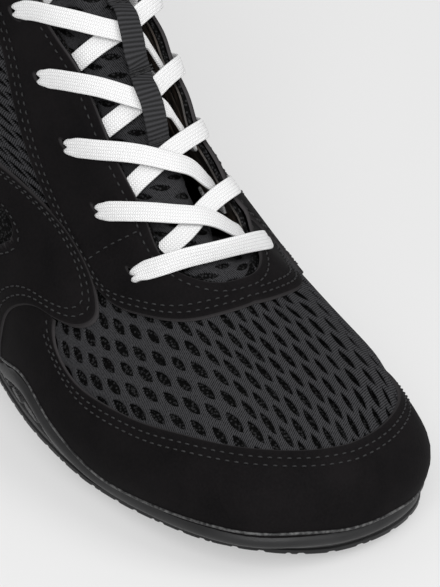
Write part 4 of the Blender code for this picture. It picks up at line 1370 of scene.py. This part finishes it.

# %% [markdown]
# A bar joins the lowest pair of eyelets, and every other pair is reached by a crossing of two strands.
# The lowest crossings were pulled differently, so each has its own rises. Under the
# keeper a strand is gathered where it dives below the far flap.

# %% Lacing
LACE_END, LACE_STEP, BAR_TILT, DIVE_PINCH, UNDER_KEEPER = 30.2, 0.35, 0.8, 0.65, (2, 3)
# Knots of the two strands of a crossing: girth, height off the skin, and climb from the lower pair of
# eyelets for the first four crossings; the later ones are laid like the second
OVER_STRAND = (
    (24.0, -2.4, (8.0, -2.0, 0.0, 0.0)),
    (15.0, -1.1, (13.6, 7.9, 0.5, 0.5)),
    (9.0, -0.3, (17.3, 12.4, 5.0, 5.0)),
    (4.0, 0.8, (21.0, 17.2, 12.8, 12.6)),
    (-1.3, 2.1, (23.8, 20.2, 17.2, 16.8)),
    (-6.5, 2.2, (25.2, 22.8, 20.3, 19.4)),
    (-12.0, 1.8, (25.9, 24.1, 22.8, 21.8)),
    (-18.5, LACE_RIDE, (25.0, 23.6, 23.4, 23.0)),
    (-24.5, LACE_RIDE, (22.8, 22.0, 22.4, 22.6)),
    (-LACE_END, LACE_RIDE, (20.0, 19.8, 20.6, 20.8)),
)
UNDER_STRAND = (
    (-30.0, -3.4, (1.0, 1.0, 1.0, 1.0)),
    (-22.0, -3.0, (8.0, 7.0, 6.0, 6.0)),
    (-13.5, -1.0, (15.2, 14.5, 12.0, 12.0)),
    (-6.5, 0.1, (20.2, 19.9, 16.6, 16.4)),
    (-0.5, 0.8, (24.5, 23.5, 19.9, 19.0)),
    (5.0, 1.6, (26.6, 24.9, 22.4, 21.2)),
    (11.0, 2.2, (26.4, 24.8, 23.4, 22.4)),
    (17.0, LACE_RIDE + 0.1, (24.8, 23.6, 22.8, 22.4)),
    (24.0, LACE_RIDE, (22.4, 22.0, 21.8, 21.8)),
    (LACE_END, LACE_RIDE, (20.0, 19.8, 19.8, 19.8)),
)
# Knots of the bar: girth, climb and height over the eyestay
BAR = (
    (-LACE_END, 75.5, 0.0), (-26.2, 78.3, 0.0), (-18.2, 83.1, 0.6), (-11.8, 86.2, 1.1), (-5.0, 88.0, 1.2),
    (1.8, 88.2, 1.1), (9.0, 86.5, 0.9), (16.0, 83.3, 0.7), (22.0, 80.0, 0.5), (LACE_END + 1.4, 75.2, 0.1),
)

# %% Strands


def strand(rows, pair):
    """Knots of one strand of the crossing above a pair of eyelets."""
    knots = []
    for girth, off, rises in rows:
        climb = EYELET_FIRST + EYELET_PITCH * pair + rises[pair if pair < len(rises) else 1]
        knots.append((girth, climb, off + (flare(girth, climb) if off > 0 else 0.0)))
    pinch = DIVE_PINCH if rows is OVER_STRAND and pair in UNDER_KEEPER else 0.0
    return ribbon(knots, LACE_WIDTH, LACE_THICK, LACE_STEP, tucked=(False, True), pinch=pinch)


bar_knots = [(girth, climb, LACE_RIDE + off) for girth, climb, off in BAR]
bar = joined("braid_bar", [ribbon(bar_knots, LACE_WIDTH, LACE_THICK, LACE_STEP, tucked=(True, True),
                                  tilt=BAR_TILT)])
finish_piece(bar, braid, "lace_braid", "lace_bar", angle=60)
for pair in range(EYELET_PAIRS - 1):
    cross = joined(f"braid_cross_{pair + 1}", [strand(UNDER_STRAND, pair), strand(OVER_STRAND, pair)])
    finish_piece(cross, braid, "lace_braid", f"lace_cross_{pair + 1}", angle=60)

# %% [markdown]
# ## Lace keeper
# A strap of ribbed webbing is tacked to the tongue at three places, each with two rows of stitches,
# and two crossings of the lace pass under it. Its ribs are modelled, 1.15 mm apart, because they show
# at its edges.

# %% Keeper
KEEPER_WIDTH, KEEPER_THICK, KEEPER_STEP, RIB_PITCH, RIB = 6.3, 0.8, 0.16, 1.15, 0.4
webbing, tree, place = start_finish("ribbed polyamide webbing", 0.75, 0.2)
split = add(tree, "SeparateXYZ", {"Vector": place["UV"]})
rib_at = add(tree, "Math", {0: split["Y"], 1: RIB_PITCH / 2}, operation="PINGPONG")
fuzz = add(tree, "TexNoise", {"Vector": place["UV"], "Scale": 2.2, "Detail": 2.0})
mixed = add(tree, "Math", {0: fuzz["Fac"], 1: 0.25, 2: rib_at[0]}, operation="MULTIPLY_ADD")
tone = add(tree, "ValToRGB", {"Fac": mixed[0]}, stops=((0.2, "#343436"), (0.65, "#151516")))
end_finish(tree, tone["Color"])

# Knots of the strap and places of its tacks: girth, climb and height off the skin
KEEPER_RUN = (
    (-2.0, 117.8, -1.0), (-2.0, 120.6, -0.6), (-2.1, 123.0, 1.2), (-2.2, 126.5, 3.2), (-1.9, 131.2, 3.7),
    (-1.9, 135.6, 3.2), (-1.3, 138.4, 1.5), (-1.0, 140.6, 1.3), (-1.5, 143.4, 2.8), (-1.3, 147.4, 3.7),
    (-0.9, 151.6, 3.7), (-0.3, 155.6, 2.6), (0.2, 158.4, 0.2), (0.3, 161.4, -0.8),
)
TACKS = ((-2.05, 121.4, 0.3), (-1.1, 139.6, 1.9), (0.2, 158.6, 0.5))
TACK_HALF, TACK_SLANT, TACK_ROWS, TACK_PROUD, TACK_PITCH = 2.9, 0.18, (-0.45, 0.45), 0.95, 1.0


def rib(along):
    return RIB * (np.cos(2 * math.pi * along / RIB_PITCH) - 1) / 2


keeper_run = ribbon(KEEPER_RUN, KEEPER_WIDTH, KEEPER_THICK + RIB, KEEPER_STEP, ribs=rib)
keeper = joined("webbing_keeper", [keeper_run])
finish_piece(keeper, webbing, "webbing", "lace_keeper", angle=50)
reach = np.linspace(-TACK_HALF, TACK_HALF, 12)
tacks = [(girth, climb + step, off) for girth, climb, off in TACKS for step in TACK_ROWS]
for number, (girth, climb, off) in enumerate(tacks, 1):
    row = np.column_stack([girth + reach, climb + TACK_SLANT * reach])
    sew(f"tack_{number}", [row], off + TACK_PROUD, pitch=TACK_PITCH)

# %% [markdown]
# ## Sole
# The sole is one moulding of dark grey rubber: a tread with cuts in its edge, a side wall with a sunk
# panel and oval lugs at the inner arch, a bead, and a thin lip that grips the upper. A pale dotted line
# along the lip's crest is painted highlight. The rim rises at the arch and at the toe. Its profile is
# drawn once, as rows of offset and height, and swept round the last's outline in small steps.

# %% Rubber
rubber, tree, place = start_finish("moulded rubber", 0.5, 0.35)
grit = add(tree, "TexNoise", {"Vector": place["Object"], "Scale": 2.2 * PER_MM, "Detail": 3.0})
cloud = add(tree, "TexNoise", {"Vector": place["Object"], "Scale": 0.09 * PER_MM, "Detail": 3.0})
tone = add(tree, "ValToRGB", {"Fac": cloud["Fac"]}, stops=((0.3, "#171718"), (0.7, "#202021")))
# A pale dotted line on the lip's crest, read from each point's mark: painted highlight
lip_highlight = add(tree, "Attribute", {}, attribute_name="mark")
patchy = add(tree, "TexNoise", {"Vector": place["Object"], "Scale": 0.8 * PER_MM, "Detail": 2.0})
spots = add(tree, "MapRange", {"Value": patchy["Fac"], "From Min": 0.4, "From Max": 0.7})
dotted_highlight = add(tree, "Math", {0: lip_highlight["Fac"], 1: spots[0]}, operation="MULTIPLY")
lit = add(tree, "Mix", {0: dotted_highlight[0], 6: tone["Color"], 7: linear("#5c5c5c")}, data_type="RGBA")
end_finish(tree, lit[2], grit["Fac"], 0.25, 0.2)
print("finish:", rubber.name)

# %% Sole profile
TOE_SPRING, SPRING_START, HEEL_BEVEL, HEEL_LIFT = 5.2, 222.0, 14.0, 2.0
ARCH_SPAN, ARCH_INNER, ARCH_OUTER = (85.0, 160.0), 3.0, 1.5
SOLE_COLUMNS, TREAD_DEPTH, NOTCH, SEAT_OFF = 1200, 0.9, 0.35, -2.5
SHARES = np.linspace(-1.0, 1.0, SOLE_COLUMNS + 1)[:-1]
# Rows of the tread's edge: plan offset from the upper's lower edge, height, and 1 where cuts go
TREAD_ROWS = (
    (-3.2, TREAD_DEPTH, 0), (-2.6, 0.1, 1), (-1.6, 0.0, 1), (-0.2, 0.0, 1), (0.5, 0.2, 1), (0.75, 0.5, 1),
    (0.75, 1.5, 0), (0.3, 1.8, 0),
)
HULL_BELOW, HULL_OFF, HULL_BULGE, HULL_STEPS = 5.4, 1.2, 0.3, 14
# How far the tread's edge stands out from the upper's lower edge, by girth
TREAD_OUT = (
    (-300, 0.5), (-170, 2.5), (-135, 4.6), (-115, 4.5), (-98, 4.0), (-81, 4.2), (-65, 3.5), (-48, 2.3),
    (-31, 1.3), (-23, 1.8), (-14, 3.7), (-6, 5.4), (3, 6.2), (11, 7.0), (22, 8.0), (42, 9.0), (75, 5.0),
    (130, 1.5), (300, 0.5),
)
# Rows of the bead and lip: distance below the rim, distance off the skin, and the paleness of the painted
# highlight on the lip's crest
BEAD_ROWS = (
    (5.0, 0.95, 0), (4.6, 0.9, 0), (4.4, 1.3, 0), (4.1, 1.85, 0), (3.6, 2.3, 0), (3.0, 2.5, 0),
    (2.4, 2.45, 0), (1.9, 2.15, 0), (1.55, 1.75, 0), (1.3, 1.35, 0), (1.1, 1.1, 0), (0.8, 1.0, 0),
    (0.6, 1.1, 0), (0.45, 1.35, 0.3), (0.2, 1.6, 1), (-0.1, 1.65, 1), (-0.3, 1.45, 1), (-0.3, 1.2, 0.6),
    (0.0, 1.0, 0), (0.8, 0.8, 0), (2.0, 0.4, 0),
)
# The sunk panel at the inner arch: where it ends and starts along the sole, its depth, and its lugs
PANEL_FRONT, PANEL_BACK, PANEL_DEPTH = (207.0, 199.0), (132.0, 142.0), 1.9
PANEL_FOOT, PANEL_TOP = (0.1, 0.25), (1.0, 0.9)
LUG_PITCH, LUG_LONG, LUG_HIGH, LUG_RISE = 11.0, 4.4, 0.26, 1.6

# %% Shapes of the sole


def bottom_height(x, outer):
    """Height of the underside; outer runs from -1 on the inner edge to 1 on the outer one."""
    spring = np.clip((x - SPRING_START) / (LENGTH - SPRING_START), 0, None)
    bevel = np.clip((HEEL_BEVEL - x) / HEEL_BEVEL, 0, None)
    along = np.clip((x - ARCH_SPAN[0]) / (ARCH_SPAN[1] - ARCH_SPAN[0]), 0, 1)
    rise = ARCH_OUTER + (ARCH_INNER - ARCH_OUTER) * (1 - outer) / 2
    return TOE_SPRING * spring ** 2 + HEEL_LIFT * bevel ** 2 + rise * np.sin(math.pi * along) ** 2


def ring_at(climb, off, shares):
    """Places round the last at shares of the way from the front to the back, inner side negative."""
    climb = np.broadcast_to(climb, shares.shape)
    girth = shares * np.where(shares < 0, half_girth(climb, -1), half_girth(climb, 1))
    return skin(climb, girth, off)


def plan_out(points):
    """Outward directions in plan of a closed loop of points."""
    run = np.roll(points, -1, axis=0) - np.roll(points, 1, axis=0)
    return unit(np.column_stack([run[:, 1], -run[:, 0], np.zeros(len(run))]))


def arch_panel(x, share):
    """Depth of the panel at the inner arch, with its oval lugs left standing; share runs up the wall."""
    panel = smooth(*PANEL_FRONT, x) * smooth(*PANEL_BACK, x)
    panel = panel * smooth(*PANEL_FOOT, share) * smooth(*PANEL_TOP, share)
    lug = (x - PANEL_BACK[0]) % LUG_PITCH - LUG_PITCH / 2
    oval = np.hypot(lug / LUG_LONG, (share - 0.5) / LUG_HIGH)
    return panel * (PANEL_DEPTH - LUG_RISE * smooth(1.0, 0.8, oval))

# %% Helpers for swept loops


def swept(rows):
    """Quads between closed loops that all have the same number of points."""
    count = len(rows[0])
    faces = []
    for level in range(len(rows) - 1):
        a = level * count + np.arange(count)
        b = level * count + (np.arange(count) + 1) % count
        faces += np.column_stack([a, b, b + count, a + count]).tolist()
    return np.vstack(rows), faces


def strips(points, loop, faces, height, facing_up, across=10):
    """Close a loop by strips from its inner to its outer side; height(point, outer) sets z."""
    count = len(loop)
    half = count // 2
    rows = [[loop[0]]]
    points = points.tolist()
    for k in range(1, half):
        a, b = loop[k], loop[count - k]
        row = [a]
        for step in range(1, across):
            t = step / across
            p = [points[a][i] * (1 - t) + points[b][i] * t for i in range(3)]
            p[2] = float(height(p, 2 * t - 1))
            points.append(p)
            row.append(len(points) - 1)
        rows.append(row + [b])
    rows.append([loop[half]])
    for low, high in zip(rows, rows[1:]):
        for step in range(across):
            corners = [low[min(step, len(low) - 1)], low[min(step + 1, len(low) - 1)],
                       high[min(step + 1, len(high) - 1)], high[min(step, len(high) - 1)]]
            corners = list(dict.fromkeys(corners))
            faces.append(corners[::-1] if facing_up else corners)
    return np.array(points), faces

# %% Sole
front = half_girth(0.0, -1)
rim = rim_climb(ring_at(0.0, 0.0, SHARES)[:, 0], SHARES * front)
tuck = ring_at(TUCK, 0.0, SHARES)
out = plan_out(tuck)
low = bottom_height(tuck[:, 0], np.where(SHARES < 0, -1.0, 1.0))
column = np.arange(SOLE_COLUMNS) * 2 * math.pi
notch = NOTCH * (np.sin(column / 6.25) + np.sin(column / 15.0) > 0.8)
spread = np.interp(SHARES * front, *zip(*TREAD_OUT))
rows = []
for off, up, notched in TREAD_ROWS:
    row = tuck + out * (off + spread)[:, None]
    row[:, 2] = low + up + notched * notch
    rows.append(row)
foot = rows[-1].copy()
foot[:, 2] = low + TREAD_ROWS[-1][1]
hull = ring_at(rim - HULL_BELOW, HULL_OFF, SHARES)
for share in np.linspace(0, 1, HULL_STEPS + 1)[1:]:
    row = foot + (hull - foot) * share
    sunk = np.where(SHARES < 0, arch_panel(row[:, 0], share), 0.0) - HULL_BULGE * math.sin(math.pi * share)
    rows.append(row - out * sunk[:, None])
marks = [0.0] * len(rows)
for below, off, pale in BEAD_ROWS:
    rows.append(ring_at(rim - below, off, SHARES))
    marks.append(pale)
rows.append(tuck + out * SEAT_OFF)
marks.append(0.0)
points, faces = swept(rows)
loop = list(range(SOLE_COLUMNS))
points, faces = strips(points, loop, faces, lambda p, outer: bottom_height(p[0], outer) + TREAD_DEPTH, False)
top = [(len(rows) - 1) * SOLE_COLUMNS + k for k in range(SOLE_COLUMNS)]
points, faces = strips(points, top, faces, lambda p, outer: p[2], True)
pale = np.zeros(len(points))
pale[:len(rows) * SOLE_COLUMNS] = np.repeat(marks, SOLE_COLUMNS)
sole = from_arrays("rubber_sole", world(points), faces, mark=pale)
faces_out(sole)
finish_piece(sole, rubber, "sole_rubber", "outsole", angle=35)

# %% [markdown]
# The insole is a thin foam footbed with rounded edges, seen only through the collar. It is swept like
# the sole, from a few rows round its edge, and its middle is dished a little.

# %% Insole
INSOLE_THICK, INSOLE_OFF, INSOLE_COLUMNS, INSOLE_DISH = 3.0, -2.5, 240, 0.6
# Rows of its edge: share of the thickness, and how far it is rounded in
INSOLE_ROWS = ((0.05, 0.5), (0.2, 0.1), (0.6, 0.0), (0.85, 0.25), (0.97, 0.9))
shares = np.linspace(-1.0, 1.0, INSOLE_COLUMNS + 1)[:-1]
base = ring_at(TUCK, INSOLE_OFF, shares)
rows = []
for share, inset in INSOLE_ROWS:
    row = ring_at(TUCK + INSOLE_THICK * share, INSOLE_OFF - inset, shares)
    row[:, 2] = base[:, 2] + INSOLE_THICK * share
    rows.append(row)
points, faces = swept(rows)
points, faces = strips(points, list(range(INSOLE_COLUMNS)), faces, lambda p, outer: p[2], False)
top = [(len(rows) - 1) * INSOLE_COLUMNS + k for k in range(INSOLE_COLUMNS)]
points, faces = strips(points, top, faces, lambda p, outer: p[2] - INSOLE_DISH * (1 - outer ** 2), True)
insole = from_arrays("insole_foam", world(points), faces)
faces_out(insole)
finish_piece(insole, lining, "insole_foam", "insole", angle=40)

# %% [markdown]
# ## Stage, light and camera
# The shoe stands on pale paper in soft studio light. The paper also glows a little, as a sweep that is
# lit from behind does, which keeps the shadow round the sole light. The camera looks down on the toe
# from the inner side with a long lens. It is placed from its direction, roll and distance, and turned
# so that the frame's middle falls where the photograph's does.

# %% Floor and light
bpy.ops.object.select_all(action="DESELECT")
bpy.ops.mesh.primitive_plane_add(size=8.0)
floor = bpy.context.object
floor.name = "floor"
paper = bpy.data.materials.new("studio paper")
paper.use_nodes = True
shader = paper.node_tree.nodes["Principled BSDF"]
for socket, value in (("Base Color", linear("#a8a8a8")), ("Roughness", 0.9), ("Specular IOR Level", 0.1),
                      ("Emission Color", linear("#ffffff")), ("Emission Strength", 0.42)):
    shader.inputs[socket].default_value = value
floor.data.materials.append(paper)
floor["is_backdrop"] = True

studio = bpy.data.worlds.new("studio")
bpy.context.scene.world = studio
studio.use_nodes = True
sky = studio.node_tree.nodes["Background"]
sky.inputs["Color"].default_value = linear("#ffffff")
sky.inputs["Strength"].default_value = 0.42
SHOE_MIDDLE = mathutils.Vector((0.16, 0.0, 0.03))


def soft_box(name, place, size, power):
    """A square light that faces the shoe."""
    light = bpy.data.lights.new(name, "AREA")
    light.size = size
    light.energy = power
    made = bpy.data.objects.new(name, light)
    bpy.context.scene.collection.objects.link(made)
    made.location = place
    made.rotation_euler = (SHOE_MIDDLE - mathutils.Vector(place)).to_track_quat("-Z", "Y").to_euler()


soft_box("front", (1.6, -1.1, 1.6), 1.4, 45.0)
soft_box("side", (1.6, 0.9, 1.6), 1.2, 20.0)
bpy.context.scene.view_settings.view_transform = "Standard"

# %% Camera
AZIMUTH, ELEVATION, ROLL = (math.radians(a) for a in (55.0, 31.5, 2.0))
DISTANCE, FOCAL_PX, LONG_SIDE_PX = 1.0, 4000.0, 587.0
TARGET = mathutils.Vector((0.208, -0.010, 0.040))
TARGET_PX, MIDDLE_PX = (267.0, 373.5), (220.0, 293.5)
back = mathutils.Vector((math.sin(AZIMUTH) * math.cos(ELEVATION), -math.cos(AZIMUTH) * math.cos(ELEVATION),
                         math.sin(ELEVATION)))
level = mathutils.Vector((math.cos(AZIMUTH), math.sin(AZIMUTH), 0.0))
upright = back.cross(level)
right = level * math.cos(ROLL) + upright * math.sin(ROLL)
up = upright * math.cos(ROLL) - level * math.sin(ROLL)
ahead = -back * FOCAL_PX + right * (MIDDLE_PX[0] - TARGET_PX[0]) + up * (TARGET_PX[1] - MIDDLE_PX[1])
back_aim = -ahead.normalized()
right_aim = (right - back_aim * right.dot(back_aim)).normalized()
up_aim = back_aim.cross(right_aim)
camera_data = bpy.data.cameras.new("camera")
camera_data.sensor_width = 36.0
camera_data.lens = FOCAL_PX / LONG_SIDE_PX * camera_data.sensor_width
camera = bpy.data.objects.new("camera", camera_data)
bpy.context.scene.collection.objects.link(camera)
turn = mathutils.Matrix((right_aim, up_aim, back_aim)).transposed()
camera.matrix_world = mathutils.Matrix.Translation(TARGET + back * DISTANCE) @ turn.to_4x4()
bpy.context.scene.camera = camera
print("lens in mm:", round(camera_data.lens, 1))

# %% [markdown]
# ## Size
# The dressed shoe has to stay in the box of its solids, so the box of the dressed shoe is measured.

# %% Sizes
low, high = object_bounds()
